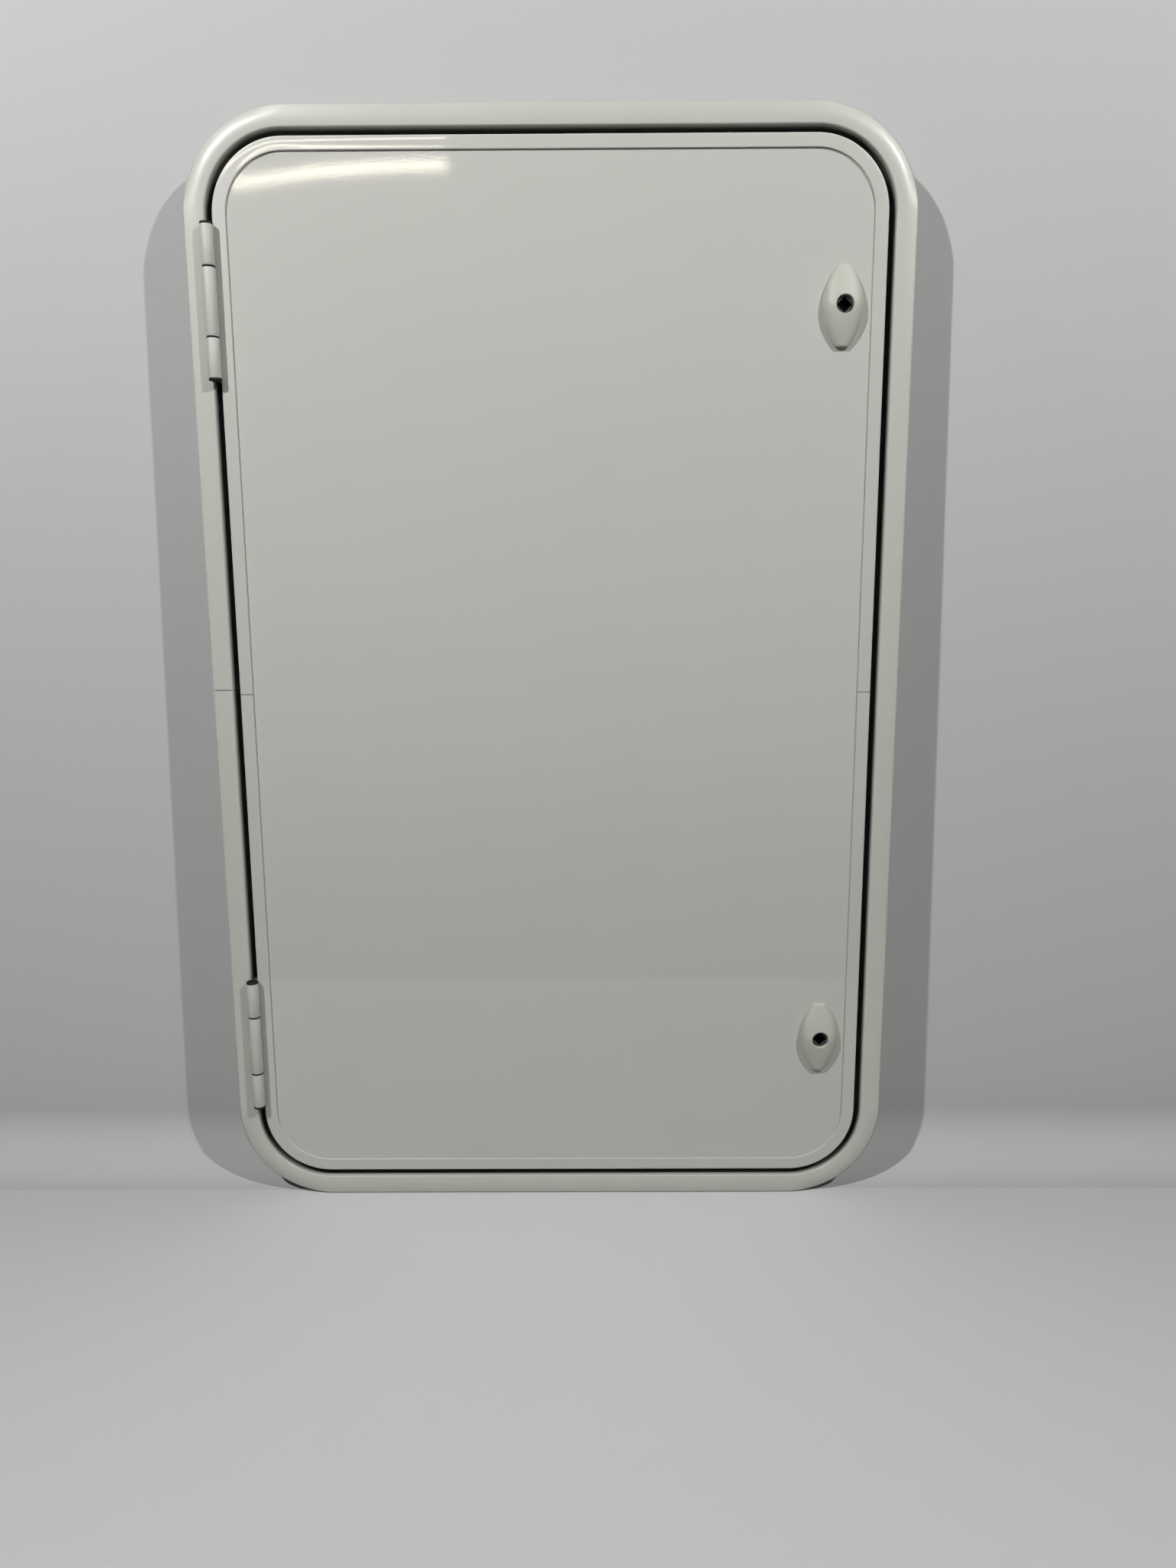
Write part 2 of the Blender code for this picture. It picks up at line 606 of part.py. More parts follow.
def housing_dome(name, rise, look, parent):
    """The domed lens on the front, lofted from full, arched sections."""
    steps = HOUSING_STEPS_ACROSS
    power = 2 / HOUSING_FULLNESS
    half = HOUSING_LENGTH / 2
    bm = bmesh.new()
    rings = []
    for along, drawn in housing_stations():
        share = 1 - (along / half) ** 2
        width = lens_half_width(along, HOUSING_WIDTH / 2, half, HOUSING_END_WIDTH / 2) - drawn
        height = HOUSING_END_HEIGHT + (HOUSING_HEIGHT - HOUSING_END_HEIGHT) * share - drawn
        ring = []
        for i in range(steps + 1):
            cosine = math.cos(math.pi * i / steps)
            across = math.copysign(abs(cosine) ** power, cosine)
            up = math.sin(math.pi * i / steps) ** power if i < steps else 0.0
            ring.append(bm.verts.new((LOCK_X + width * across, HOUSING_BASE - height * up, rise + along)))
        rings.append(ring)
    for here, there in zip(rings, rings[1:]):
        for j in range(steps):
            bm.faces.new((here[j], here[j + 1], there[j + 1], there[j]))
    bm.faces.new(rings[0])
    bm.faces.new(rings[-1])
    bm.faces.new([ring[0] for ring in rings] + [ring[-1] for ring in reversed(rings)])
    return finish(name, bm, look, parent)


def build_lock(name, rise, door, paint, plastic, steel):
    """One lock: housing, turning core, tongue and its screw, and the backplate with two screws."""
    prefix = "lock_" + name
    centre = Matrix.Translation((LOCK_X, 0, rise)) @ TO_BACK
    posts = [(LOCK_X, 0, rise + sign * POST_RISE) for sign in (1, -1)]
    barrel_end = PANEL_BACK
    inside = HOUSING_BASE - HOUSING_END_HEIGHT / 2

    housing = housing_dome(prefix + "_housing", rise, plastic, door)
    bm = bmesh.new()
    turned(bm, rod(BARREL_DIAMETER / 2, inside, barrel_end), centre)
    combine(housing, finish(prefix + "_barrel_guide", bm), "UNION")
    bars = rods(prefix + "_posts_guide", posts, POST_DIAMETER / 2, inside, barrel_end, TO_BACK)
    combine(housing, bars, "UNION")
    bm = bmesh.new()
    keyhole_end = HOUSING_TOP + KEYHOLE_DEPTH
    bore = CORE_DIAMETER / 2 + FIT
    keyhole = KEYHOLE_DIAMETER / 2
    profile = [(0, HOUSING_TOP - PAST), (keyhole, HOUSING_TOP - PAST), (keyhole, keyhole_end),
               (bore, keyhole_end), (bore, barrel_end + PAST), (0, barrel_end + PAST)]
    turned(bm, profile, centre)
    combine(housing, finish(prefix + "_bore_cutter", bm), "DIFFERENCE")
    screw_tip = BACKPLATE_BACK + FIT - SCREW_GRIP - BACKPLATE_THICKNESS
    hole = SCREW_SHANK / 2 + FIT
    holes = rods(prefix + "_post_holes_cutter", posts, hole, screw_tip - FIT, barrel_end + PAST, TO_BACK)
    combine(housing, holes, "DIFFERENCE")

    turn = pivot(prefix + "_pivot", (LOCK_X, CORE_FRONT, rise), door)
    bm = bmesh.new()
    neck_end = TONGUE_FRONT - FIT
    profile = [(0, CORE_FRONT), (CORE_DIAMETER / 2, CORE_FRONT), (CORE_DIAMETER / 2, barrel_end),
               (NECK_DIAMETER / 2, barrel_end), (NECK_DIAMETER / 2, neck_end), (0, neck_end)]
    turned(bm, profile, centre)
    core = finish(prefix + "_core", bm, plastic, turn)
    bm = bmesh.new()
    square_bar(bm, DRIVE_SIDE, neck_end - PAST, TONGUE_BACK - FIT, 0, (LOCK_X, rise))
    combine(core, finish(prefix + "_drive_guide", bm), "UNION")
    bm = bmesh.new()
    square_bar(bm, SOCKET_SIDE, CORE_FRONT - PAST, CORE_FRONT + SOCKET_DEPTH, math.pi / 4, (LOCK_X, rise))
    combine(core, finish(prefix + "_socket_cutter", bm), "DIFFERENCE")
    tip = TONGUE_BACK + FIT - TONGUE_SCREW_GRIP
    middle = [(LOCK_X, 0, rise)]
    bar = rods(prefix + "_core_hole_cutter", middle, hole, tip - FIT, TONGUE_BACK + PAST, TO_BACK)
    combine(core, bar, "DIFFERENCE")

    tongue = build_tongue(prefix + "_tongue", rise, steel, turn)
    bm = bmesh.new()
    square_bar(bm, DRIVE_SIDE + 2 * FIT, TONGUE_FRONT - PAST, TONGUE_BACK + PAST, 0, (LOCK_X, rise))
    combine(tongue, finish(prefix + "_tongue_cutter", bm), "DIFFERENCE")
    seat = TONGUE_BACK + FIT
    screw(prefix + "_tongue_screw", centre, seat, TONGUE_SCREW_HEAD, TONGUE_SCREW_GRIP, steel, turn)

    outline = lens_outline(HOUSING_WIDTH / 2 - BACKPLATE_INSET, HOUSING_LENGTH / 2 - BACKPLATE_INSET,
                           HOUSING_END_WIDTH / 2 - BACKPLATE_INSET / 2)
    bm = bmesh.new()
    slab(bm, [(LOCK_X + x, BACKPLATE_FRONT, rise + z) for x, z in outline], (0, BACKPLATE_THICKNESS, 0))
    plate = finish(prefix + "_backplate", bm, paint, door)
    bm = bmesh.new()
    start = BACKPLATE_FRONT - PAST
    end = BACKPLATE_BACK + PAST
    turned(bm, rod(NECK_DIAMETER / 2 + FIT, start, end), centre)
    for place in posts:
        turned(bm, rod(hole, start, end), Matrix.Translation(place) @ TO_BACK, SMALL_STEPS)
    combine(plate, finish(prefix + "_backplate_cutter", bm), "DIFFERENCE")
    for end, place in zip(("top", "bottom"), posts):
        axis = Matrix.Translation(place) @ TO_BACK
        seat = BACKPLATE_BACK + FIT
        screw(f"{prefix}_screw_{end}", axis, seat, SCREW_HEAD, SCREW_GRIP + BACKPLATE_THICKNESS, steel, door)


def lens_outline(half_width, half_length, end_half_width):
    """Outline of a flat lens with cut ends, as (across, along) points."""
    steps = HOUSING_STEPS_ALONG
    side = []
    for i in range(steps + 1):
        along = half_length * (2 * i / steps - 1)
        side.append((lens_half_width(along, half_width, half_length, end_half_width), along))
    return side + [(-across, -along) for across, along in side]


def build_tongue(name, rise, look, parent):
    """The tongue: a round hub that tapers to a rounded tip, hanging down when the lock is open."""
    hub = TONGUE_HUB / 2
    tip = TONGUE_TIP / 2
    reach = TONGUE_LENGTH - tip
    lean = math.asin((hub - tip) / reach)
    outline = []
    steps = 2 * TONGUE_STEPS
    for i in range(steps + 1):
        angle = -lean + (math.pi + 2 * lean) * i / steps
        outline.append((hub * math.cos(angle), hub * math.sin(angle)))
    steps = TONGUE_STEPS
    for i in range(steps + 1):
        angle = math.pi + lean + (math.pi - 2 * lean) * i / steps
        outline.append((tip * math.cos(angle), -reach + tip * math.sin(angle)))
    bm = bmesh.new()
    slab(bm, [(LOCK_X + x, TONGUE_FRONT, rise + z) for x, z in outline], (0, TONGUE_THICKNESS, 0))
    return finish(name, bm, look, parent)


def screw(name, place, seat, head, grip, look, parent):
    """A pan-head screw that points to the front, its head on a seat at that depth."""
    shank = SCREW_SHANK / 2
    radius = head / 2
    top = seat + SCREW_HEAD_HEIGHT
    round_off = SCREW_HEAD_HEIGHT / 2
    profile = [(0, seat - grip), (shank, seat - grip), (shank, seat), (radius, seat)]
    profile += [(radius, top - round_off), (radius - round_off / 2, top - round_off / 4)]
    profile += [(radius - round_off, top), (0, top)]
    bm = bmesh.new()
    turned(bm, profile, place, SMALL_STEPS)
    return finish(name, bm, look, parent)


def build():
    """Clears the scene and makes the whole door."""
    for obj in list(bpy.data.objects):
        bpy.data.objects.remove(obj, do_unlink=True)
    paint = material("painted aluminium, warm grey white", (0.50, 0.50, 0.47), 0.38, 0.0)
    gloss = material("gloss sheet, warm grey white", (0.50, 0.50, 0.48), 0.12, 0.0)
    plastic = material("moulded plastic, warm grey", (0.47, 0.47, 0.43), 0.35, 0.0)
    black = material("black plastic", (0.015, 0.015, 0.015), 0.45, 0.0)
    rubber = material("black rubber", (0.02, 0.02, 0.02), 0.8, 0.0)
    foam = material("white foam", (0.75, 0.75, 0.72), 0.9, 0.0)
    mill = material("bare aluminium", (0.75, 0.75, 0.75), 0.4, 1.0)
    steel = material("zinc plated steel", (0.62, 0.62, 0.62), 0.32, 1.0)

    door = pivot("door_pivot", (HINGE_X, HINGE_Y, CENTRE_Z))
    build_frame(paint, rubber, mill)
    build_leaf(door, paint, gloss, foam, mill)
    build_hinges(door, paint, black, steel)
    for name, rise in lock_rises():
        build_lock(name, rise, door, paint, plastic, steel)


build()
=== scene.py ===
"""Looks of the caravan service door: fine meshes for the pieces that show, finishes, studio and camera.

Metres, +Z up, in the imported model's frame: Y = 0 is the wall's outer skin and the front looks along -Y.
"""

import json
import logging
import math
from collections.abc import Callable
from dataclasses import dataclass, field
from enum import Enum

import bmesh
import bpy
from bmesh.types import BMEdge, BMesh, BMVert
from bpy.types import ID, Material, Node, NodeSocket, NodeTree, Object, World
from mathutils import Matrix, Vector

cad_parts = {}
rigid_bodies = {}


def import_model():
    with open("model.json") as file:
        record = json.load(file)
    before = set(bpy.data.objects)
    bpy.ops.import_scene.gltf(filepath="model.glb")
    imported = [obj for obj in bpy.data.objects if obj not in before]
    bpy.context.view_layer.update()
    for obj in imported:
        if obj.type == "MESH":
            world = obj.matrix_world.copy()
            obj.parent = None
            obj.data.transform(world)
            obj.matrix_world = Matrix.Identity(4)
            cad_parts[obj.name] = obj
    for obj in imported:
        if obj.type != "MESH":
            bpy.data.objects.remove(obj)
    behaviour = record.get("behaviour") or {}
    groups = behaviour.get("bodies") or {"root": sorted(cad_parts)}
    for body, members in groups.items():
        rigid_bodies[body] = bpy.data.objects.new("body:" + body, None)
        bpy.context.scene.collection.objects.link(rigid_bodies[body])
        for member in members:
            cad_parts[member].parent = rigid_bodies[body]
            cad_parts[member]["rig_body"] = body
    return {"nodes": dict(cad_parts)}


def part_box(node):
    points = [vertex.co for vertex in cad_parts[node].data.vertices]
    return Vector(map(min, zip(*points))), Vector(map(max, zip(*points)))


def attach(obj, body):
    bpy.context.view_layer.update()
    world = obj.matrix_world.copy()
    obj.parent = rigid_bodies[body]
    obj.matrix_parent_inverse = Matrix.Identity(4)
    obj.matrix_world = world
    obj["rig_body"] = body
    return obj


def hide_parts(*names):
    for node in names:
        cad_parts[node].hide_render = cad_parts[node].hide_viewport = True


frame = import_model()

SHARP_ANGLE = math.radians(35)
MERGE_DISTANCE = 1e-6
FIT = 0.0003
PAST = 0.002
QUARTER = math.pi / 2
ROUNDING = 0.3
HOLE_STEPS = 24
BORE_STEPS = 32
GRID_EDGE = 0.999
NOISE_SPAN = (0.3, 0.7)
WHITE = (1.0, 1.0, 1.0, 1.0)

log = logging.getLogger("service_door")


class Level(Enum):
    """Which of two like assemblies, counted along the height of the door."""

    UPPER = "upper"
    LOWER = "lower"


class End(Enum):
    """Which end of an upright piece."""

    TOP = "top"
    BOTTOM = "bottom"


def linear(colour: str) -> tuple[float, float, float, float]:
    """Turns an sRGB hex colour into the linear values that shaders take.

    Args:
        colour: The colour as six hex digits.

    Returns:
        Red, green, blue and an alpha of 1.
    """
    shares = [int(colour[i:i + 2], 16) / 255 for i in (0, 2, 4)]
    values = [c / 12.92 if c <= 0.04045 else ((c + 0.055) / 1.055) ** 2.4 for c in shares]
    return (values[0], values[1], values[2], 1.0)


def add_node(tree: NodeTree, kind: str, values: dict | None = None, links: dict | None = None, **settings) -> Node:
    """Adds a node to a tree with its settings, socket values and incoming links.

    Args:
        tree: The node tree.
        kind: The node's type name.
        values: Socket name or number to constant.
        links: Socket name or number to the output that feeds it.
        settings: The node's own properties.

    Returns:
        The new node.
    """
    node = tree.nodes.new(kind)
    for name, setting in settings.items():
        setattr(node, name, setting)
    for socket, value in (values or {}).items():
        node.inputs[socket].default_value = value
    for socket, source in (links or {}).items():
        tree.links.new(source, node.inputs[socket])
    return node


def calculate(tree: NodeTree, operation: str, *terms: float | NodeSocket) -> NodeSocket:
    """Adds one step of arithmetic to a tree.

    Args:
        tree: The node tree.
        operation: What the step does.
        terms: The constants or outputs that it takes, in order.

    Returns:
        The result's output.
    """
    node = add_node(tree, "ShaderNodeMath", operation=operation)
    for socket, term in zip(node.inputs, terms):
        if isinstance(term, NodeSocket):
            tree.links.new(term, socket)
        else:
            socket.default_value = term
    return node.outputs[0]


def remap(tree: NodeTree, source: NodeSocket, span: tuple[float, float], onto: tuple[float, float]) -> NodeSocket:
    """Carries a value from one span onto another, and holds it there past the ends.

    Args:
        tree: The node tree.
        source: The value's output.
        span: The value's span.
        onto: The span of the result.

    Returns:
        The result's output.
    """
    values = {"From Min": span[0], "From Max": span[1], "To Min": onto[0], "To Max": onto[1]}
    return add_node(tree, "ShaderNodeMapRange", values, {"Value": source}).outputs["Result"]


def clouds(tree: NodeTree, place: NodeSocket, size: float, detail: float, roughness: float = 0.5) -> NodeSocket:
    """Adds soft random clouds.

    Args:
        tree: The node tree.
        place: The object coordinates.
        size: Size of a cloud, in metres.
        detail: How many finer layers lie over it.
        roughness: How strong those are.

    Returns:
        The clouds' output, about 0.5.
    """
    values = {"Scale": 1 / size, "Detail": detail, "Roughness": roughness}
    return add_node(tree, "ShaderNodeTexNoise", values, {"Vector": place}).outputs["Fac"]


def cleared_tree(owner: Material | World) -> NodeTree:
    """Gives a new material or world an empty node tree.

    Args:
        owner: The material or world.

    Returns:
        Its tree.
    """
    owner.use_nodes = True
    owner.node_tree.nodes.clear()
    return owner.node_tree


@dataclass(frozen=True)
class PaintedRecessShade:
    """Painted shade: the colour darkens with depth on the edge of a rounded opening, where shade falls in the gap."""

    unshaded_depth: float
    fully_shaded_depth: float
    darkest: float
    half_width: float
    half_height: float
    corner: float
    band: float
    middle: tuple[float, float]

    def tone(self, tree: NodeTree, place: NodeSocket) -> NodeSocket:
        """Gives the share of the colour that the painted shade leaves.

        Args:
            tree: The material's tree.
            place: The object coordinates.

        Returns:
            The share's output, 1 away from the opening's edge and on its front.
        """
        split = add_node(tree, "ShaderNodeSeparateXYZ", links={0: place})
        past = []
        for axis, centre, half in (("X", self.middle[0], self.half_width), ("Z", self.middle[1], self.half_height)):
            away = calculate(tree, "ABSOLUTE", calculate(tree, "SUBTRACT", split.outputs[axis], centre))
            past.append(calculate(tree, "MAXIMUM", calculate(tree, "SUBTRACT", away, half - self.corner), 0.0))
        both = add_node(tree, "ShaderNodeCombineXYZ", links={0: past[0], 1: past[1]})
        reach = add_node(tree, "ShaderNodeVectorMath", operation="LENGTH", links={0: both.outputs[0]})
        # painted shade: only near the opening's edge, darker the deeper the surface lies
        edge = calculate(tree, "COMPARE", reach.outputs["Value"], self.corner, self.band)
        deep = remap(tree, split.outputs["Y"], (self.unshaded_depth, self.fully_shaded_depth), (0.0, 1.0 - self.darkest))
        return calculate(tree, "SUBTRACT", 1.0, calculate(tree, "MULTIPLY", edge, deep))


@dataclass(frozen=True)
class Finish:
    """A surface finish, with the shader values that are the same all over it."""

    name: str
    colour: str
    roughness: float
    metallic: float = 0.0
    ior: float = 1.5
    drift: float = 0.03
    drift_size: float = 0.09
    roughness_drift: float = 0.04
    peel_size: float = 0.002
    peel_depth: float = 1e-6
    grain_size: float = 0.0005
    grain_depth: float = 0.0
    coat: float = 0.0
    coat_roughness: float = 0.06
    # painted shade that darkens the colour with depth in an opening, or None
    recess_shade: PaintedRecessShade | None = None

    def material(self) -> Material:
        """Makes the material.

        Returns:
            A material whose colour and gloss drift slightly over the piece, with the finish's relief.
        """
        new = bpy.data.materials.new(self.name)
        tree = cleared_tree(new)
        place = add_node(tree, "ShaderNodeTexCoord").outputs["Object"]
        shader = add_node(tree, "ShaderNodeBsdfPrincipled",
                          values={"Metallic": self.metallic, "IOR": self.ior, "Coat Weight": self.coat,
                                  "Coat Roughness": self.coat_roughness})
        tree.links.new(self.colour_over(tree, place), shader.inputs["Base Color"])
        tree.links.new(self.roughness_over(tree, place), shader.inputs["Roughness"])
        tree.links.new(self.relief(tree, place), shader.inputs["Normal"])
        add_node(tree, "ShaderNodeOutputMaterial", links={"Surface": shader.outputs["BSDF"]})
        return new

    def colour_over(self, tree: NodeTree, place: NodeSocket) -> NodeSocket:
        """Lets the colour drift a little darker and lighter over the piece, and adds the finish's painted shade in an
        opening where it has one.

        Args:
            tree: The material's tree.
            place: The object coordinates.

        Returns:
            The colour's output.
        """
        tone = remap(tree, clouds(tree, place, self.drift_size, 4.0, 0.6), NOISE_SPAN, (1 - self.drift, 1.0))
        # painted shade: darker with depth in the opening
        if self.recess_shade:
            tone = calculate(tree, "MULTIPLY", tone, self.recess_shade.tone(tree, place))
        colour = add_node(tree, "ShaderNodeHueSaturation", {"Color": linear(self.colour)}, {"Value": tone})
        return colour.outputs["Color"]

    def roughness_over(self, tree: NodeTree, place: NodeSocket) -> NodeSocket:
        """Lets the gloss drift a little over the piece, as wiping and handling leave it.

        Args:
            tree: The material's tree.
            place: The object coordinates.

        Returns:
            The roughness output.
        """
        smear = clouds(tree, place, self.drift_size / 2.5, 5.0, 0.65)
        return remap(tree, smear, NOISE_SPAN, (self.roughness, self.roughness + self.roughness_drift))

    def relief(self, tree: NodeTree, place: NodeSocket) -> NodeSocket:
        """Gives the surface its soft peel and, on grained finishes, a finer grain over it.

        Args:
            tree: The material's tree.
            place: The object coordinates.

        Returns:
            The normal's output.
        """
        bump = add_node(tree, "ShaderNodeBump", {"Strength": 1.0, "Distance": self.peel_depth},
                        {"Height": clouds(tree, place, self.peel_size, 2.0)})
        if not self.grain_depth:
            return bump.outputs["Normal"]
        grain = add_node(tree, "ShaderNodeTexVoronoi", {"Scale": 1 / self.grain_size}, {"Vector": place},
                         feature="SMOOTH_F1")
        fine = add_node(tree, "ShaderNodeBump", {"Strength": 1.0, "Distance": self.grain_depth},
                        {"Height": grain.outputs["Distance"], "Normal": bump.outputs["Normal"]})
        return fine.outputs["Normal"]


# Polyester powder coat on the frame: satin, with a soft orange peel that spreads its highlights; inside the opening
# its colour darkens with depth as painted shade in the gap
FRAME_COAT = Finish("powder_coated_aluminium", "C9C9C1", 0.34, peel_size=0.0025, peel_depth=3e-6, coat=0.25,
                    coat_roughness=0.10, recess_shade=PaintedRecessShade(-0.0098, -0.0015, 0.10, 0.2820, 0.4570, 0.0660, 0.0015,
                                                   (0.0, 0.466)))
# The hinge's coat is flatter: its barrels take a soft, even light
HINGE_COAT = Finish("flat_powder_coat", "C9C9C2", 0.50, peel_size=0.002, peel_depth=4e-6)
# The trim's coat is glossier, so lamps draw thin lines along it
TRIM_COAT = Finish("gloss_coated_aluminium", "C9C9C2", 0.30, peel_size=0.0025, peel_depth=4e-7, coat=0.6,
                   coat_roughness=0.03)
# Gel-coated sheet: a nearly mirror-like skin, whose faint peel frays the edge of a reflection
SHEET_GLOSS = Finish("gel_coated_sheet", "C9C9C3", 0.03, drift=0.015, roughness_drift=0.015,
                     peel_size=0.0015, peel_depth=7.0e-6)
# Moulded ASA: a spark-eroded grain keeps the domes satin
HOUSING_ASA = Finish("moulded_asa", "C3C3B8", 0.48, ior=1.50, peel_size=0.004, peel_depth=4e-6,
                     grain_size=0.0006, grain_depth=6e-6)
# Black polyamide of the washers and end caps
BLACK_POLYAMIDE = Finish("black_polyamide", "070707", 0.7, ior=1.45, peel_size=0.001, peel_depth=3e-6)
# The turning cores are polyamide given a dark grey that stands for the shade in the keyhole, darkened further with
# depth in the square socket as painted shade, so the keyhole reads as black
CORE_POLYAMIDE_PAINTED_SHADE = Finish("core_polyamide_painted_shade", "42423D", 0.5, ior=1.53, peel_size=0.001, peel_depth=3e-6,
                        recess_shade=PaintedRecessShade(-0.0150, -0.0142, 0.08, 1.0, 1.0, 0.1, 0.2, (0.0, 0.466)))
# EPDM seal: dull black with a dusty bloom
SEAL_EPDM = Finish("epdm_rubber", "191918", 0.72, ior=1.52, drift=0.25, drift_size=0.02,
                   peel_size=0.0008, peel_depth=1e-5)
# Zinc plate with a clear passivate: a cool, slightly cloudy metal
ZINC_PLATE = Finish("zinc_plated_steel", "B4B8BC", 0.28, metallic=1.0, drift=0.12, drift_size=0.01,
                    roughness_drift=0.14, peel_size=0.0006, peel_depth=4e-6)
# Mill finish aluminium of the joiners, as it leaves the press
MILL_ALUMINIUM = Finish("mill_aluminium", "C4C6C8", 0.34, metallic=1.0, drift=0.08, drift_size=0.008,
                        roughness_drift=0.1, peel_size=0.0012, peel_depth=4e-6)
# Extruded polystyrene core: chalky, with fine cells
FOAM_XPS = Finish("extruded_polystyrene", "E6E4DA", 0.9, drift=0.04, drift_size=0.004,
                  peel_size=0.0015, peel_depth=3e-5)


class Wardrobe:
    """Makes each finish's material once and hands it out."""

    def __init__(self) -> None:
        """Starts with no material made."""
        self.made: dict[str, Material] = {}

    def get(self, finish: Finish) -> Material:
        """Gives the material of a finish.

        Args:
            finish: The finish.

        Returns:
            Its material, made on first use.
        """
        if finish.name not in self.made:
            self.made[finish.name] = finish.material()
        return self.made[finish.name]


WARDROBE = Wardrobe()


def set_out(name: str, data: ID) -> Object:
    """Puts a new object into the scene, at the origin.

    Args:
        name: Its name.
        data: Its mesh, lamp or camera.

    Returns:
        The object.
    """
    obj = bpy.data.objects.new(name, data)
    bpy.context.scene.collection.objects.link(obj)
    return obj


def publish(node: str, bm: BMesh, finish: Finish) -> Object:
    """Makes a mesh a piece that stands for a CAD node, smooth on its curves, on the node's body.

    Args:
        node: The CAD node that the piece replaces.
        bm: The mesh, which is freed.
        finish: Its finish.

    Returns:
        The new object.
    """
    mesh = bpy.data.meshes.new(node + "_fine")
    bm.to_mesh(mesh)
    bm.free()
    mesh.shade_smooth()
    mesh.set_sharp_from_angle(angle=SHARP_ANGLE)
    mesh.materials.append(WARDROBE.get(finish))
    piece = set_out(node + "_fine", mesh)
    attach(piece, frame["nodes"][node]["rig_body"])
    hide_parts(node)
    log.info("%s: %d faces, %s", piece.name, len(mesh.polygons), finish.name)
    return piece


def refine(node: str, finish: Finish, edge: float = 0.0, steps: int = 2) -> Object:
    """Stands a merged, smooth copy with eased edges in for a CAD node.

    Args:
        node: The CAD node.
        finish: The copy's finish.
        edge: How far its sharp edges are eased, or 0 to leave them.
        steps: Faces across an eased edge.

    Returns:
        The new object.
    """
    bm = bmesh.new()
    bm.from_mesh(frame["nodes"][node].data)
    bmesh.ops.remove_doubles(bm, verts=bm.verts, dist=MERGE_DISTANCE)
    bmesh.ops.dissolve_limit(bm, angle_limit=math.radians(0.5), verts=bm.verts, edges=bm.edges)
    piece = publish(node, bm, finish)
    if edge:
        ease = piece.modifiers.new("eased_edges", "BEVEL")
        ease.width = edge
        ease.segments = steps
        ease.limit_method = "ANGLE"
        ease.angle_limit = SHARP_ANGLE
        ease.harden_normals = True
    return piece


def recoat(node: str, finish: Finish) -> None:
    """Gives a CAD node whose shape is right its finish.

    Args:
        node: The CAD node.
        finish: Its finish.
    """
    data = frame["nodes"][node].data
    data.materials.clear()
    data.materials.append(WARDROBE.get(finish))
    log.info("%s: kept, %s", node, finish.name)


def carve(bm: BMesh, tool: BMesh, operation: str) -> BMesh:
    """Cuts or joins one closed mesh with another.

    Args:
        bm: The mesh that is worked on, which is freed.
        tool: The other mesh, which is freed.
        operation: DIFFERENCE or UNION.

    Returns:
        The result.
    """
    objects = []
    for part in (bm, tool):
        mesh = bpy.data.meshes.new("carving")
        part.to_mesh(mesh)
        part.free()
        objects.append(set_out("carving", mesh))
    work, cutter = objects
    step = work.modifiers.new("carving", "BOOLEAN")
    step.operation = operation
    step.solver = "EXACT"
    step.object = cutter
    bpy.context.view_layer.update()
    evaluated = work.evaluated_get(bpy.context.evaluated_depsgraph_get())
    result = bmesh.new()
    result.from_mesh(evaluated.to_mesh())
    evaluated.to_mesh_clear()
    for obj in objects:
        mesh = obj.data
        bpy.data.objects.remove(obj)
        bpy.data.meshes.remove(mesh)
    return result


def joined(parts: list[BMesh]) -> BMesh:
    """Puts several meshes that stay clear of each other into one.

    Args:
        parts: The meshes, which are freed.

    Returns:
        One mesh that holds them all.
    """
    whole = bmesh.new()
    for part in parts:
        mesh = bpy.data.meshes.new("part")
        part.to_mesh(mesh)
        part.free()
        whole.from_mesh(mesh)
        bpy.data.meshes.remove(mesh)
    return whole


def revolve(profile: list[tuple[float, float]], place: Matrix, steps: int = 64) -> BMesh:
    """Turns a profile round its axis, as on a lathe.

    Args:
        profile: Points of (radius, height), from axis to axis, or a loop that stays off the axis.
        place: Where the axis, which starts as +Z, is laid.
        steps: Faces round the turn.

    Returns:
        The closed body.
    """
    bm = bmesh.new()
    verts = [bm.verts.new((radius, 0, height)) for radius, height in profile]
    edges = [bm.edges.new(pair) for pair in zip(verts, verts[1:])]
    if profile[0][0] > 0:
        edges.append(bm.edges.new((verts[-1], verts[0])))
    bmesh.ops.spin(bm, geom=verts + edges, cent=(0, 0, 0), axis=(0, 0, 1), angle=2 * math.pi, steps=steps,
                   use_merge=True, use_duplicate=False)
    bmesh.ops.remove_doubles(bm, verts=bm.verts, dist=MERGE_DISTANCE / 10)
    bmesh.ops.transform(bm, matrix=place, verts=bm.verts)
    bmesh.ops.recalc_face_normals(bm, faces=bm.faces)
    return bm


def rod(radius: float, low: float, high: float) -> list[tuple[float, float]]:
    """Gives the profile of a plain rod, to drill with.

    Args:
        radius: Its radius.
        low: Its lower end along the axis.
        high: Its upper end.

    Returns:
        Points of (radius, height) for the lathe.
    """
    return [(0, low), (radius, low), (radius, high), (0, high)]


def extruded(bm: BMesh, edges: list[BMEdge]) -> tuple[list, list]:
    """Grows faces out of a line of edges, whose far side then still lies on it.

    Args:
        bm: The mesh.
        edges: The line.

    Returns:
        The points and the edges of the far side.
    """
    grown = bmesh.ops.extrude_edge_only(bm, edges=edges)["geom"]
    fresh = {v for v in grown if isinstance(v, BMVert)}
    far = [e for e in grown if isinstance(e, BMEdge) and set(e.verts) <= fresh]
    return list(fresh), far


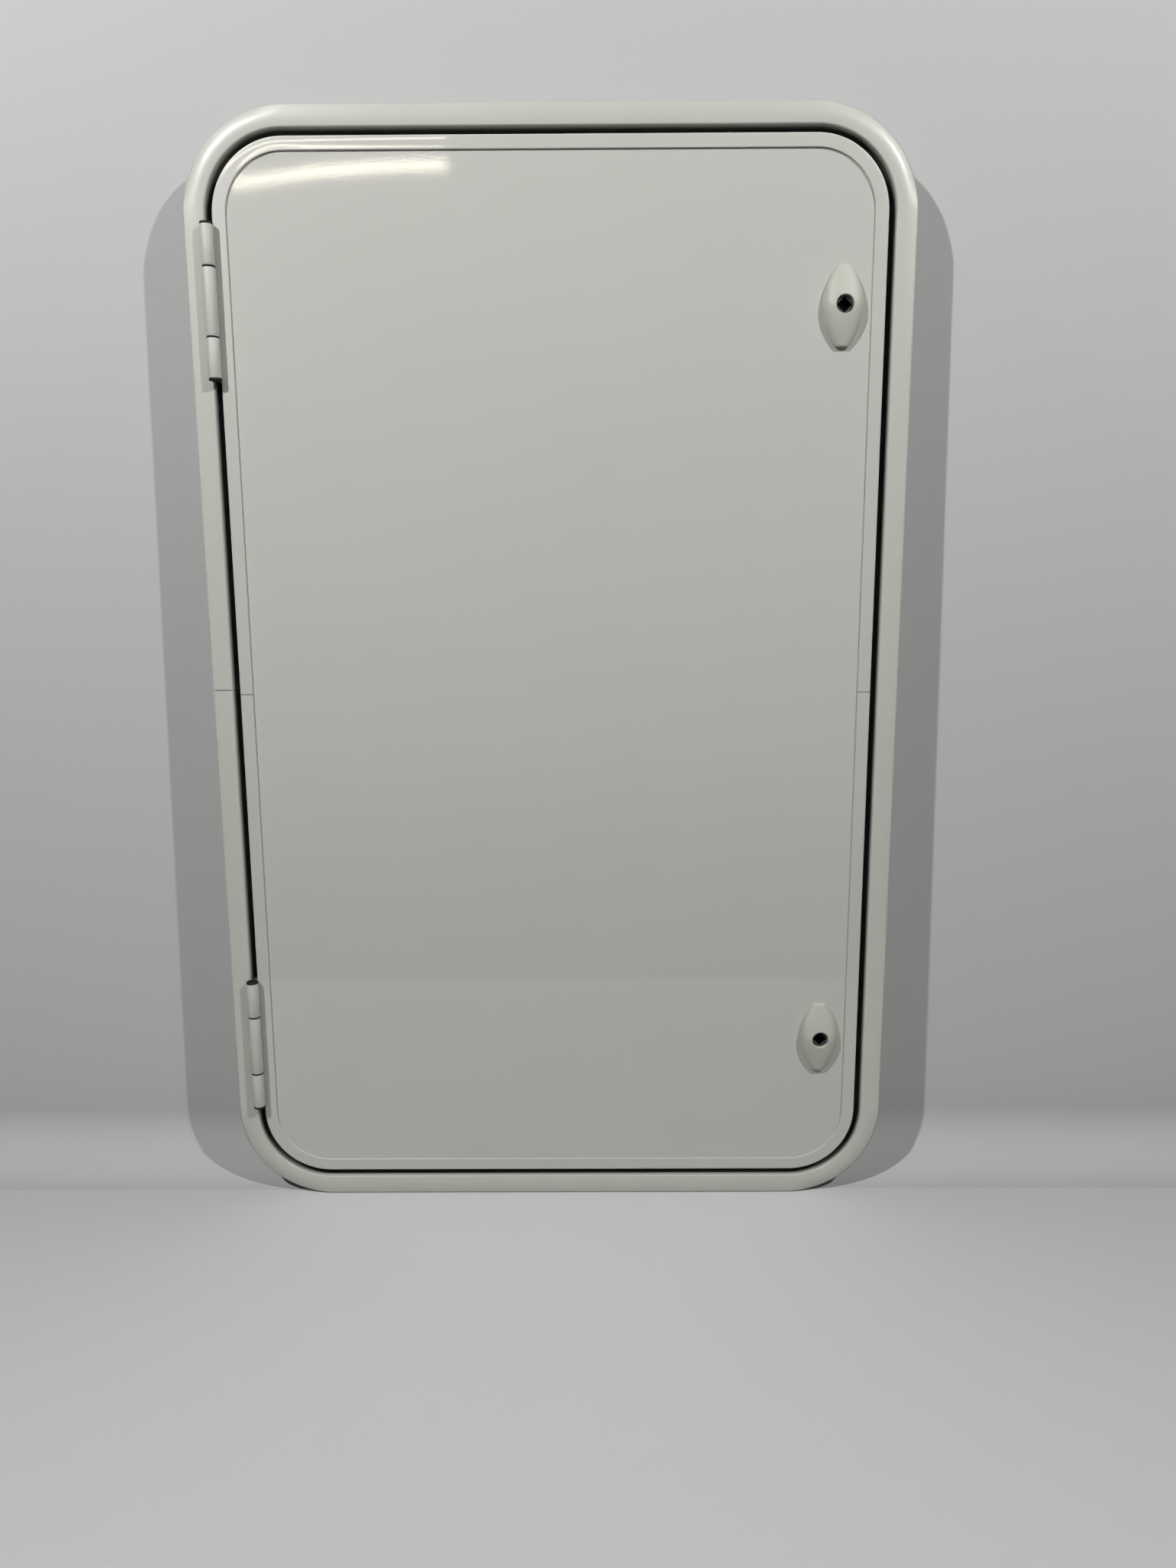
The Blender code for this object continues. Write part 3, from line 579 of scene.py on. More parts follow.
def block(low: Vector, high: Vector) -> BMesh:
    """A plain bar between two corners, to cut or join with.

    Args:
        low: Lowest corner.
        high: Highest corner.

    Returns:
        The closed body.
    """
    bm = bmesh.new()
    size = high - low
    place = Matrix.Translation((low + high) / 2) @ Matrix.Diagonal((*size, 1.0))
    bmesh.ops.create_cube(bm, size=1.0, matrix=place)
    return bm


TO_BACK = Matrix.Rotation(-QUARTER, 4, "X")
TO_RIGHT = Matrix.Rotation(QUARTER, 4, "Y")
TO_LEFT = Matrix.Rotation(-QUARTER, 4, "Y")
UPRIGHT = Matrix.Identity(4)
UPSIDE_DOWN = Matrix.Rotation(math.pi, 4, "X")


@dataclass(frozen=True)
class Layout:
    """The door's main places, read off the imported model."""

    low: Vector
    high: Vector
    crown: float = 0.0006
    face: float = 0.018
    corner: float = 0.084
    gap: float = 0.006
    leaf_thickness: float = 0.025

    @property
    def middle(self) -> float:
        """Height of the door's middle."""
        return (self.low.z + self.high.z) / 2

    @property
    def front(self) -> float:
        """Depth of the flat front of frame and trim, without its crown."""
        return self.low.y + self.crown

    @property
    def web_half_width(self) -> float:
        """Half the clear width inside the frame."""
        return self.high.x - self.face

    @property
    def web_half_height(self) -> float:
        """Half the clear height inside the frame."""
        return (self.high.z - self.low.z) / 2 - self.face

    @property
    def web_corner(self) -> float:
        """Radius of the clear opening's corners."""
        return self.corner - self.face

    @property
    def leaf_back(self) -> float:
        """Depth of the back of the leaf's trim."""
        return self.front + self.leaf_thickness


@dataclass(frozen=True)
class Corner:
    """One corner of a section, outward and backward from its reference line, and its rounding."""

    out: float
    back: float
    radius: float = 0.0
    steps: int = 4


class Bar:
    """A section drawn along straights and bends, as the real bar is pressed out and bent."""

    least_front: float = 0.004
    front_cuts: int = 19
    cut_edge: float = 0.0003
    end_step: float = 0.001

    def __init__(self, sections: list[list[Corner]], place: Vector, heading: Vector,
                 rise: Callable[[float], float]) -> None:
        """Draws the section at the start of the run.

        Args:
            sections: The outline and, in a hollow bar, its chamber.
            place: Where the reference line starts.
            heading: Direction of the run there.
            rise: How far the front stands out at a share of its width, counted from its outer edge.
        """
        self.bm = bmesh.new()
        self.place = place.copy()
        self.heading = heading.copy()
        self.last = []
        for number, corners in enumerate(sections):
            self.last += self.draw(corners, rise if number == 0 else None)
        out = -self.inward
        basis = Matrix((out, Vector((0, 1, 0)), out.cross(Vector((0, 1, 0))))).transposed().to_4x4()
        bmesh.ops.transform(self.bm, matrix=Matrix.Translation(place) @ basis, verts=self.bm.verts)
        self.first = list(self.last)

    @property
    def inward(self) -> Vector:
        """Direction towards the middle of the door, to the right of the heading as seen from the front."""
        return Vector((self.heading.z, 0, -self.heading.x))

    def draw(self, corners: list[Corner], rise: Callable[[float], float] | None) -> list[BMEdge]:
        """Draws one closed outline, rounds its corners and shapes its front.

        Args:
            corners: The outline's corners.
            rise: How far the front stands out at a share of its width, or None to leave it.

        Returns:
            The outline's edges.
        """
        verts = [self.bm.verts.new((c.out, c.back, 0)) for c in corners]
        self.bm.faces.new(verts)
        for vert, corner in zip(verts, corners):
            if corner.radius:
                bmesh.ops.bevel(self.bm, geom=[vert], offset=corner.radius, offset_type="OFFSET",
                                affect="VERTICES", segments=corner.steps, profile=0.5, material=-1)
        face = self.bm.faces[:][0]
        if rise:
            lying = [e for e in face.edges if abs(e.verts[0].co.x - e.verts[1].co.x) > self.least_front]
            front = min(lying, key=lambda e: e.verts[0].co.y + e.verts[1].co.y)
            outer, inner = sorted((v.co.x for v in front.verts), reverse=True)
            cut = bmesh.ops.subdivide_edges(self.bm, edges=[front], cuts=self.front_cuts)
            for vert in (v for v in cut["geom_inner"] if isinstance(v, BMVert)):
                vert.co.y -= rise((outer - vert.co.x) / (outer - inner))
            face = self.bm.faces[:][0]
        edges = list(face.edges)
        bmesh.ops.delete(self.bm, geom=[face], context="FACES_ONLY")
        return edges

    def straight(self, length: float) -> None:
        """Draws the section straight on.

        Args:
            length: Length of the straight.
        """
        for step in (self.end_step, length - 2 * self.end_step, self.end_step):
            fresh, self.last = extruded(self.bm, self.last)
            bmesh.ops.translate(self.bm, verts=fresh, vec=self.heading * step)
        self.place += self.heading * length

    def bend(self, radius: float, steps: int = 32) -> None:
        """Bends the run by a quarter turn, clockwise as seen from the front.

        Args:
            radius: Radius of the reference line.
            steps: Faces round the bend.
        """
        centre = self.place + self.inward * radius
        verts = list({v for e in self.last for v in e.verts})
        turned = bmesh.ops.spin(self.bm, geom=verts + self.last, cent=centre, axis=(0, 1, 0), angle=QUARTER,
                                steps=steps, use_duplicate=False)
        self.last = [e for e in turned["geom_last"] if isinstance(e, BMEdge)]
        turn = Matrix.Rotation(QUARTER, 3, "Y")
        self.place = centre + turn @ (self.place - centre)
        self.heading = turn @ self.heading

    def finished(self) -> BMesh:
        """Closes both cut ends.

        Returns:
            The closed bar.
        """
        ends = self.first + self.last
        for loop in (self.first, self.last):
            bmesh.ops.triangle_fill(self.bm, edges=loop, use_beauty=True, use_dissolve=False)
        bmesh.ops.recalc_face_normals(self.bm, faces=self.bm.faces)
        bmesh.ops.bevel(self.bm, geom=ends, offset=self.cut_edge, offset_type="OFFSET", affect="EDGES",
                        segments=2, profile=0.5, material=-1, clamp_overlap=True)
        return self.bm


@dataclass
class OuterFrame:
    """The bent flange and web that the leaf shuts into, its joiner and its seal."""

    layout: Layout
    wall: float = 0.0018
    shoulder: float = 0.0025
    edge_round: float = 0.0015
    burr: float = 0.0003
    rebate_width: float = 0.016
    rebate_thickness: float = 0.002
    seal_space: float = 0.004
    joint_rise: float = 0.004
    joint_gap: float = 0.0011
    web_joint_gap: float = 0.0002
    fall_start: float = 0.071
    fall_radius: float = 0.048
    fall_fade: float = 0.6
    fixing_hole: float = 0.0045
    fixing_depth: float = 0.017
    left_fixings: tuple[float, ...] = (0.095, 0.215)
    right_fixings: tuple[float, ...] = (0.129, 0.386)
    top_fixing: float = 0.148
    bottom_fixing: float = 0.177
    joiner_edge: float = 0.0004

    def outline(self) -> list[Corner]:
        """Gives the section's outline, outward from the web's inner side."""
        front = self.layout.front
        rebate_front = self.layout.leaf_back + self.seal_space
        rebate_back = rebate_front + self.rebate_thickness
        end = self.layout.high.y
        face = self.layout.face
        return [Corner(0, front, self.edge_round, 6), Corner(face, front, self.shoulder, 12),
                Corner(face, 0, self.burr, 2), Corner(self.wall, 0), Corner(self.wall, end, self.burr, 2),
                Corner(0, end, self.burr, 2), Corner(0, rebate_back),
                Corner(-self.rebate_width, rebate_back, self.burr, 2),
                Corner(-self.rebate_width, rebate_front, self.burr, 2), Corner(0, rebate_front)]

    def chamber(self) -> list[Corner]:
        """Gives the outline of the hollow inside the flange."""
        wall = self.wall
        front = self.layout.front + wall
        outer = self.layout.face - wall
        bend = self.shoulder - wall
        return [Corner(wall, front), Corner(outer, front, bend, 6), Corner(outer, -wall), Corner(wall, -wall)]

    def holes(self, rivets: list[tuple[float, float]], rivet_hole: float) -> BMesh:
        """Makes the bars that drill the web.

        Args:
            rivets: Depth and height of each hinge rivet.
            rivet_hole: Radius of a rivet's hole.

        Returns:
            All the bars in one mesh.
        """
        layout = self.layout
        depth = layout.front + self.fixing_depth
        places = []
        for end in (-1, 1):
            places += [(-layout.web_half_width, end * z, TO_LEFT) for z in self.left_fixings]
            places += [(layout.web_half_width, end * z, TO_RIGHT) for z in self.right_fixings]
            places += [(end * self.top_fixing, layout.web_half_height, UPRIGHT)]
            places += [(end * self.bottom_fixing, -layout.web_half_height, UPSIDE_DOWN)]
        bar = rod(self.fixing_hole / 2, -PAST, self.wall + PAST)
        bars = [revolve(bar, Matrix.Translation((x, depth, layout.middle + z)) @ turn, HOLE_STEPS)
                for x, z, turn in places]
        bar = rod(rivet_hole, -PAST, self.wall + PAST)
        bars += [revolve(bar, Matrix.Translation((-layout.web_half_width, y, z)) @ TO_LEFT, HOLE_STEPS)
                 for y, z in rivets]
        return joined(bars)

    def flatten_corners(self, bm: BMesh) -> None:
        """Lets the outer part of the flange fall back in the corners, as stretching on the bender leaves it.

        Args:
            bm: The bent frame.
        """
        layout = self.layout
        radius = layout.web_corner
        for vert in bm.verts:
            aside = abs(vert.co.x) - layout.web_half_width + radius
            above = abs(vert.co.z - layout.middle) - layout.web_half_height + radius
            if aside <= 0 or above <= 0 or vert.co.y >= 0:
                continue
            reach = math.hypot(aside, above)
            turn = min(2 * aside * above / reach ** 2 / self.fall_fade, 1.0)
            share = vert.co.y / layout.front * turn * turn * (3 - 2 * turn)
            vert.co.y += share * max(reach - self.fall_start, 0) ** 2 / (2 * self.fall_radius)

    def close_web_joint(self, bm: BMesh) -> None:
        """Brings the web's ends together at the joint, which gapes only across the flange.

        Args:
            bm: The bent frame.
        """
        height = self.layout.middle + self.joint_rise
        for vert in bm.verts:
            away = vert.co.z - height
            within = -self.layout.web_half_width - self.wall - MERGE_DISTANCE < vert.co.x < 0
            if within and abs(away) < self.joint_gap:
                vert.co.z = height + math.copysign(self.web_joint_gap / 2, away)

    def build(self, rivets: list[tuple[float, float]], rivet_hole: float) -> None:
        """Bends the frame round the door, drills it and dresses it, with its joiner and seal.

        Args:
            rivets: Depth and height of each hinge rivet.
            rivet_hole: Radius of a rivet's hole.
        """
        layout = self.layout
        radius = layout.web_corner
        start = self.joint_rise + self.joint_gap / 2
        across = 2 * (layout.web_half_width - radius)
        along = 2 * (layout.web_half_height - radius)
        bar = Bar([self.outline(), self.chamber()], Vector((-layout.web_half_width, 0, layout.middle + start)),
                  Vector((0, 0, 1)), lambda share: layout.crown * 4 * share * (1 - share))
        bar.straight(along / 2 - start)
        for length in (across, along, across):
            bar.bend(radius)
            bar.straight(length)
        bar.bend(radius)
        bar.straight(along / 2 + start - self.joint_gap)
        bent = bar.finished()
        self.flatten_corners(bent)
        self.close_web_joint(bent)
        publish("frame", carve(bent, self.holes(rivets, rivet_hole), "DIFFERENCE"), FRAME_COAT)
        refine("frame_seal", SEAL_EPDM)
        refine("frame_joiner", MILL_ALUMINIUM, self.joiner_edge)


@dataclass
class Leaf:
    """The door leaf: two bent trim halves with joiners, round a sandwich of skin, foam and skin."""

    layout: Layout
    face: float = 0.0113
    lip: float = 0.0016
    wall: float = 0.0018
    back_lip: float = 0.009
    edge_round: float = 0.0015
    inner_round: float = 0.0008
    burr: float = 0.0002
    joint_gap: float = 0.0005
    tilt: float = 0.0124
    ripple: float = 0.0000046
    ripple_span: float = 0.8
    ripple_start: float = 0.48
    joiner_edge: float = 0.0003

    def outline(self) -> list[Corner]:
        """Gives the trim's section, outward from the leaf's edge."""
        front = self.layout.front
        back = self.layout.leaf_back
        return [Corner(0, front, self.edge_round, 6), Corner(0, back, self.inner_round, 4),
                Corner(-self.back_lip, back, self.burr, 2), Corner(-self.back_lip, back - self.lip),
                Corner(-self.wall, back - self.lip), Corner(-self.wall, front + self.lip),
                Corner(-self.face, front + self.lip),
                Corner(-self.face, front + self.tilt * self.face, self.inner_round, 6)]

    def ripple_at(self, share: float) -> float:
        """Gives the die's faint ripple on the trim's front, which splits a lamp's reflection in two.

        Args:
            share: Share of the front's width, from its outer edge.

        Returns:
            How far the front stands out there.
        """
        start, here, end = (math.sin(2 * math.pi * (s - self.ripple_start) / self.ripple_span) for s in (0, share, 1))
        return self.ripple * (start * (1 - share) + end * share - here)

    def trim(self, top: bool) -> BMesh:
        """Bends one half of the trim.

        Args:
            top: Whether it is the upper half.

        Returns:
            The closed bar.
        """
        layout = self.layout
        half_width = layout.web_half_width - layout.gap
        half_height = layout.web_half_height - layout.gap
        radius = layout.web_corner - layout.gap
        sign = 1 if top else -1
        start = Vector((-sign * half_width, 0, layout.middle + sign * self.joint_gap / 2))
        bar = Bar([self.outline()], start, Vector((0, 0, sign)), self.ripple_at)
        side = half_height - radius - self.joint_gap / 2
        bar.straight(side)
        bar.bend(radius)
        bar.straight(2 * (half_width - radius))
        bar.bend(radius)
        bar.straight(side)
        return bar.finished()

    def build(self, rivets: list[tuple[float, float]], rivet_hole: float) -> None:
        """Builds and dresses the leaf.

        Args:
            rivets: Depth and height of each hinge rivet.
            rivet_hole: Radius of a rivet's hole.
        """
        layout = self.layout
        edge = -(layout.web_half_width - layout.gap)
        bar = rod(rivet_hole, -PAST, self.wall + PAST)
        for level in Level:
            top = level is Level.UPPER
            places = [Matrix.Translation((edge, y, z)) @ TO_RIGHT for y, z in rivets if (z > layout.middle) == top]
            holes = joined([revolve(bar, place, HOLE_STEPS) for place in places])
            publish(f"door_trim_{level.value}", carve(self.trim(top), holes, "DIFFERENCE"), TRIM_COAT)
        for node in ("door_skin_outer", "door_skin_inner"):
            recoat(node, SHEET_GLOSS)
        recoat("door_core", FOAM_XPS)
        for side in ("left", "right"):
            refine(f"door_trim_joiner_{side}", MILL_ALUMINIUM, self.joiner_edge)


@dataclass
class BarrelHinge:
    """One hinge: two comb-cut leaves with their knuckles, pin, washers, end caps and rivets."""

    layout: Layout
    level: Level
    knuckle_radius: float = 0.00525
    knuckle_middle: float = 0.0532
    knuckle_outer: float = 0.0315
    knuckle_space: float = 0.0015
    knuckle_edge: float = 0.0003
    pin_radius: float = 0.00225
    plate: float = 0.002
    plate_depth: float = 0.020
    plate_edge: float = 0.0002
    from_rivet_to_end: float = 0.0196
    rivet_depth: float = 0.0145
    rivet_head: float = 0.0062
    rivet_shank: float = 0.0036
    pin_edge: float = 0.0002
    small_edge: float = 0.0001
    cap_rim: float = 0.0005
    cap_steps: int = 48
    cap_dish: tuple[tuple[float, float], ...] = ((0.62, 0.00005), (0.5, 0.00025), (0.0, 0.0003))
    axis: Vector = field(init=False)

    def __post_init__(self) -> None:
        """Reads the hinge's axis off its packed pin."""
        low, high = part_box(f"hinge_{self.level.value}_pin")
        self.axis = (low + high) / 2

    @property
    def half_length(self) -> float:
        """Half the length over the outer knuckles."""
        return self.knuckle_middle / 2 + self.knuckle_space + self.knuckle_outer

    @property
    def rivet_hole(self) -> float:
        """Radius of the hole for a rivet's shank."""
        return self.rivet_shank / 2 + FIT

    def rivets(self) -> list[tuple[float, float]]:
        """Gives the depth and height of each pair of rivets."""
        shift = self.half_length - self.from_rivet_to_end
        return [(self.layout.front + self.rivet_depth, self.axis.z + s) for s in (-shift, shift)]

    def leaf(self, near: float, far: float, knuckles: list[tuple[float, float]]) -> BMesh:
        """Makes one hinge leaf.

        Args:
            near: Where the plate's open face lies across the gap.
            far: Where its riveted face lies.
            knuckles: Lower and upper end of each knuckle, from the hinge's middle.

        Returns:
            The closed body.
        """
        radius = self.knuckle_radius
        bore = self.pin_radius + FIT
        rear = self.axis.y + radius + FIT
        root = self.axis.y + (radius + bore) / 2
        end = self.layout.front + self.plate_depth
        left, right = sorted((near, far))
        body = block(Vector((left, rear, self.axis.z - self.half_length)),
                     Vector((right, end, self.axis.z + self.half_length)))
        bmesh.ops.bevel(body, geom=body.edges[:], offset=self.plate_edge, offset_type="OFFSET", affect="EDGES",
                        segments=2, profile=0.5, material=-1)
        centre = Matrix.Translation(self.axis)
        ease = self.knuckle_edge
        for low, high in knuckles:
            tongue = block(Vector((left, root, self.axis.z + low)),
                           Vector((right, rear + ease + FIT, self.axis.z + high)))
            body = carve(body, tongue, "UNION")
            side = [(radius - ease, low), (radius - ease * ROUNDING, low + ease * ROUNDING), (radius, low + ease),
                    (radius, high - ease), (radius - ease * ROUNDING, high - ease * ROUNDING), (radius - ease, high)]
            barrel = revolve([(0, low), *side, (0, high)], centre)
            body = carve(body, barrel, "UNION")
        reach = 2 * self.half_length
        body = carve(body, revolve(rod(bore, -reach, reach), centre, BORE_STEPS), "DIFFERENCE")
        mouth = self.rivet_head / 2 + FIT
        sink = [(0, -PAST), (mouth, -PAST), (mouth, 0), (self.rivet_hole, mouth - self.rivet_hole),
                (self.rivet_hole, self.plate + PAST), (0, self.plate + PAST)]
        turn = TO_RIGHT if far > near else TO_LEFT
        sinks = [revolve(sink, Matrix.Translation((near, y, z)) @ turn, HOLE_STEPS) for y, z in self.rivets()]
        return carve(body, joined(sinks), "DIFFERENCE")

    def build(self) -> None:
        """Builds and dresses the hinge."""
        prefix = f"hinge_{self.level.value}"
        middle = self.knuckle_middle / 2
        inner = middle + self.knuckle_space
        outer = self.half_length
        layout = self.layout
        near = -layout.web_half_width + FIT + self.plate
        publish(prefix + "_frame_leaf", self.leaf(near, near - self.plate, [(-outer, -inner), (inner, outer)]),
                HINGE_COAT)
        near = -(layout.web_half_width - layout.gap) - FIT - self.plate
        publish(prefix + "_door_leaf", self.leaf(near, near + self.plate, [(-middle, middle)]), HINGE_COAT)
        refine(prefix + "_pin", ZINC_PLATE, self.pin_edge)
        for end in End:
            refine(f"{prefix}_washer_{end.value}", BLACK_POLYAMIDE, self.small_edge)
            self.cap(f"{prefix}_cap_{end.value}", end)
            for leaf in ("frame", "door"):
                refine(f"{prefix}_{leaf}_rivet_{end.value}", ZINC_PLATE, self.small_edge)

    def cap(self, node: str, end: End) -> None:
        """Turns one black end cap, slightly dished and with a rounded rim.

        Args:
            node: The CAD node.
            end: Which end of the hinge it closes.
        """
        low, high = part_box(node)
        spigot = self.pin_radius
        radius = self.knuckle_radius
        rim = self.cap_rim
        seat = self.half_length + FIT
        foot = low.z - self.axis.z if end is End.TOP else self.axis.z - high.z
        top = foot + high.z - low.z
        profile = [(0, foot), (spigot - self.pin_edge, foot), (spigot, foot + self.pin_edge), (spigot, seat),
                   (radius, seat)]
        profile += [(radius - rim * (1 - math.cos(a)), top - rim * (1 - math.sin(a)))
                    for a in (QUARTER * i / 4 for i in range(5))]
        profile += [(radius * share, top - sunk) for share, sunk in self.cap_dish]
        turn = UPRIGHT if end is End.TOP else UPSIDE_DOWN
        publish(node, revolve(profile, Matrix.Translation(self.axis) @ turn, self.cap_steps), BLACK_POLYAMIDE)


@dataclass
class TurnLock:
    """One lock: domed housing, turning core, tongue, backplate and screws."""

    layout: Layout
    level: Level
    length: float = 0.064
    width: float = 0.0336
    end_width: float = 0.0112
    height: float = 0.0118
    end_height: float = 0.0046
    fullness: float = 2.5
    fullness_along: float = 1.35
    end_round: float = 0.0009
    keyhole_radius: float = 0.0073
    keyhole_rim: float = 0.00045
    keyhole_depth: float = 0.005
    core_radius: float = 0.0085
    barrel_radius: float = 0.0105
    post_radius: float = 0.00375
    post_from_end: float = 0.0102
    screw_radius: float = 0.0017
    screw_grip: float = 0.011
    across_steps: int = 64
    along_steps: int = 60
    end_steps: int = 6
    patch_across: int = 11
    patch_along: int = 9
    core_edge: float = 0.00025
    plate_edge: float = 0.0003
    screw_edge: float = 0.0001
    base: float = field(init=False)
    barrel_end: float = field(init=False)
    centre: Vector = field(init=False)

    def __post_init__(self) -> None:
        """Reads the lock's place off its packed housing."""
        low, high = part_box(f"lock_{self.level.value}_housing")
        self.centre = Vector(((low.x + high.x) / 2, 0, (low.z + high.z) / 2))
        self.base = low.y + self.height
        self.barrel_end = high.y

    def half_width(self, along: float) -> float:
        """Gives half the lens's width at a place along it, whose sides are circular arcs.

        Args:
            along: Distance from the middle.

        Returns:
            Half the width there.
        """
        sagitta = (self.width - self.end_width) / 2
        radius = ((self.length / 2) ** 2 + sagitta ** 2) / (2 * sagitta)
        return self.width / 2 - radius + math.sqrt(radius ** 2 - along ** 2)

    def crest(self, along: float) -> float:
        """Gives the dome's height on its middle line.

        Args:
            along: Distance from the middle.

        Returns:
            Height over the panel.
        """
        share = 1 - abs(2 * along / self.length) ** self.fullness_along
        return self.end_height + (self.height - self.end_height) * share

    def depth(self, across: float, along: float) -> float:
        """Gives the depth of the dome's surface at a place.

        Args:
            across: Distance from the middle line.
            along: Distance from the middle.

        Returns:
            The depth, as Y.
        """
        share = min(abs(across) / self.half_width(along), 1.0)
        return self.base - self.crest(along) * (1 - share ** self.fullness) ** (1 / self.fullness)

    def mould(self, vert: BMVert) -> tuple[float, float, float]:
        """Carries one point of a flat grid, from -1 to 1 each way, onto the dome.

        Args:
            vert: The grid's point.

        Returns:
            Its place across, in depth and along.
        """
        body = self.length / 2 - self.end_round
        straight = self.along_steps / (self.along_steps + 2 * self.end_steps)
        reach = abs(vert.co.y)
        turn = QUARTER * max(reach - straight, 0) / (1 - straight)
        along = math.copysign(body * min(reach / straight, 1) + self.end_round * math.sin(turn), vert.co.y)
        drawn = self.end_round * (1 - math.cos(turn))
        angle = QUARTER * (1 - vert.co.x)
        power = 2 / self.fullness
        across = math.copysign(abs(math.cos(angle)) ** power, vert.co.x) * (self.half_width(along) - drawn)
        rise = max(math.sin(angle), 0.0) ** power * (self.crest(along) - drawn)
        return across, self.base - rise, along

    def housing(self) -> BMesh:
        """Moulds the domed housing with its keyhole, bore, barrel and screw posts.

        Returns:
            The closed body.
        """
        bm = bmesh.new()
        rows = self.along_steps + 2 * self.end_steps
        bmesh.ops.create_grid(bm, x_segments=self.across_steps, y_segments=rows, size=1.0)
        limit_x = (2 * self.patch_across + 0.5) / self.across_steps
        limit_y = (2 * self.patch_along + 0.5) / rows
        patch = {v for v in bm.verts if abs(v.co.x) < limit_x and abs(v.co.y) < limit_y}
        bmesh.ops.delete(bm, geom=[f for f in bm.faces if set(f.verts) <= patch], context="FACES")
        patch = {v for v in bm.verts if abs(v.co.x) < limit_x and abs(v.co.y) < limit_y}
        window = [e for e in bm.edges if e.is_boundary and set(e.verts) <= patch]
        outer = [e for e in bm.edges if e.is_boundary and e not in window]
        side_edges = [e for e in outer if all(abs(v.co.x) > GRID_EDGE for v in e.verts)]
        end_loops = [[e for e in outer if all(v.co.y * s > GRID_EDGE for v in e.verts)] for s in (-1, 1)]
        for vert in bm.verts:
            vert.co = self.mould(vert)
        ring = self.keyhole(bm, window)
        for loop in end_loops:
            self.close_end(bm, loop, side_edges)
        bmesh.ops.triangle_fill(bm, edges=side_edges + ring, use_beauty=True, use_dissolve=False)
        bmesh.ops.translate(bm, verts=bm.verts, vec=self.centre)
        bmesh.ops.recalc_face_normals(bm, faces=bm.faces)
        return carve(bm, self.posts(), "UNION")

    def close_end(self, bm: BMesh, loop: list, side_edges: list) -> None:
        """Closes one flat end of the dome, and adds the edge at its foot to the dome's foot.

        Args:
            bm: The housing's mesh.
            loop: Edges of the open end.
            side_edges: Edges of the dome's foot, which gain one.
        """
        feet = [v for e in loop for v in e.verts if abs(v.co.y - self.base) < MERGE_DISTANCE]
        side_edges.append(bm.edges.new(sorted(set(feet), key=lambda v: v.co.x)))
        bmesh.ops.contextual_create(bm, geom=loop + [side_edges[-1]])

    def keyhole(self, bm: BMesh, window: list) -> list[BMEdge]:
        """Opens the round keyhole in the dome, and carries its wall back to the foot of the barrel.

        Args:
            bm: The housing's mesh.
            window: Edges of the square opening left in the dome.

        Returns:
            The edges of the barrel's foot.
        """
        mouth = self.keyhole_radius + self.keyhole_rim
        made = bmesh.ops.create_circle(bm, segments=len(window), radius=mouth,
                                       matrix=Matrix.Rotation(QUARTER, 4, "X"))
        rim = list({e for v in made["verts"] for e in v.link_edges})
        bridge = bmesh.ops.bridge_loops(bm, edges=window + rim)
        spokes = [e for e in bridge["edges"] if e not in window and e not in rim]
        bmesh.ops.subdivide_edges(bm, edges=spokes, cuts=3, use_grid_fill=True)
        for vert in bm.verts:
            if math.hypot(vert.co.x, vert.co.z) < 2 * mouth:
                vert.co.y = self.depth(vert.co.x, vert.co.z)
        rim = [e for e in bm.edges if e.is_boundary
               and all(math.hypot(v.co.x, v.co.z) < mouth + MERGE_DISTANCE for v in e.verts)]
        top = self.base - self.height
        stages = [(None, self.keyhole_rim * (1 - math.cos(QUARTER * i / 4)),
                   self.keyhole_radius + self.keyhole_rim * (1 - math.sin(QUARTER * i / 4))) for i in range(1, 5)]
        bore = self.core_radius + FIT
        stages += [(top + self.keyhole_depth, 0.0, self.keyhole_radius), (top + self.keyhole_depth, 0.0, bore),
                   (self.barrel_end, 0.0, bore), (self.barrel_end, 0.0, self.barrel_radius),
                   (self.base, 0.0, self.barrel_radius)]
        for plane, sunk, radius in stages:
            fresh, rim = extruded(bm, rim)
            for vert in fresh:
                angle = math.atan2(vert.co.z, vert.co.x)
                lip = self.depth(mouth * math.cos(angle), mouth * math.sin(angle))
                vert.co = (radius * math.cos(angle), lip + sunk if plane is None else plane, radius * math.sin(angle))
        return rim

    def posts(self) -> BMesh:
        """Turns the two screw posts behind the dome.

        Returns:
            Both posts in one mesh.
        """
        inside = self.base - self.end_height / 2
        hole = self.screw_radius + FIT
        tip = self.barrel_end - self.screw_grip
        profile = [(0, inside), (self.post_radius, inside), (self.post_radius, self.barrel_end),
                   (hole, self.barrel_end), (hole, tip), (0, tip)]
        rise = self.length / 2 - self.post_from_end
        places = [Matrix.Translation(self.centre + Vector((0, 0, s))) @ TO_BACK for s in (-rise, rise)]
        return joined([revolve(profile, place, BORE_STEPS) for place in places])

    def build(self) -> None:
        """Builds and dresses the lock."""
        prefix = f"lock_{self.level.value}"
        publish(prefix + "_housing", self.housing(), HOUSING_ASA)
        # the core's dark colour and its darkening in the socket are painted shade in the keyhole
        refine(prefix + "_core", CORE_POLYAMIDE_PAINTED_SHADE, self.core_edge)
        refine(prefix + "_tongue", ZINC_PLATE, self.plate_edge)
        refine(prefix + "_tongue_screw", ZINC_PLATE, self.screw_edge)
        refine(prefix + "_backplate", FRAME_COAT, self.plate_edge)
        for end in End:
            refine(f"{prefix}_screw_{end.value}", ZINC_PLATE, self.screw_edge)


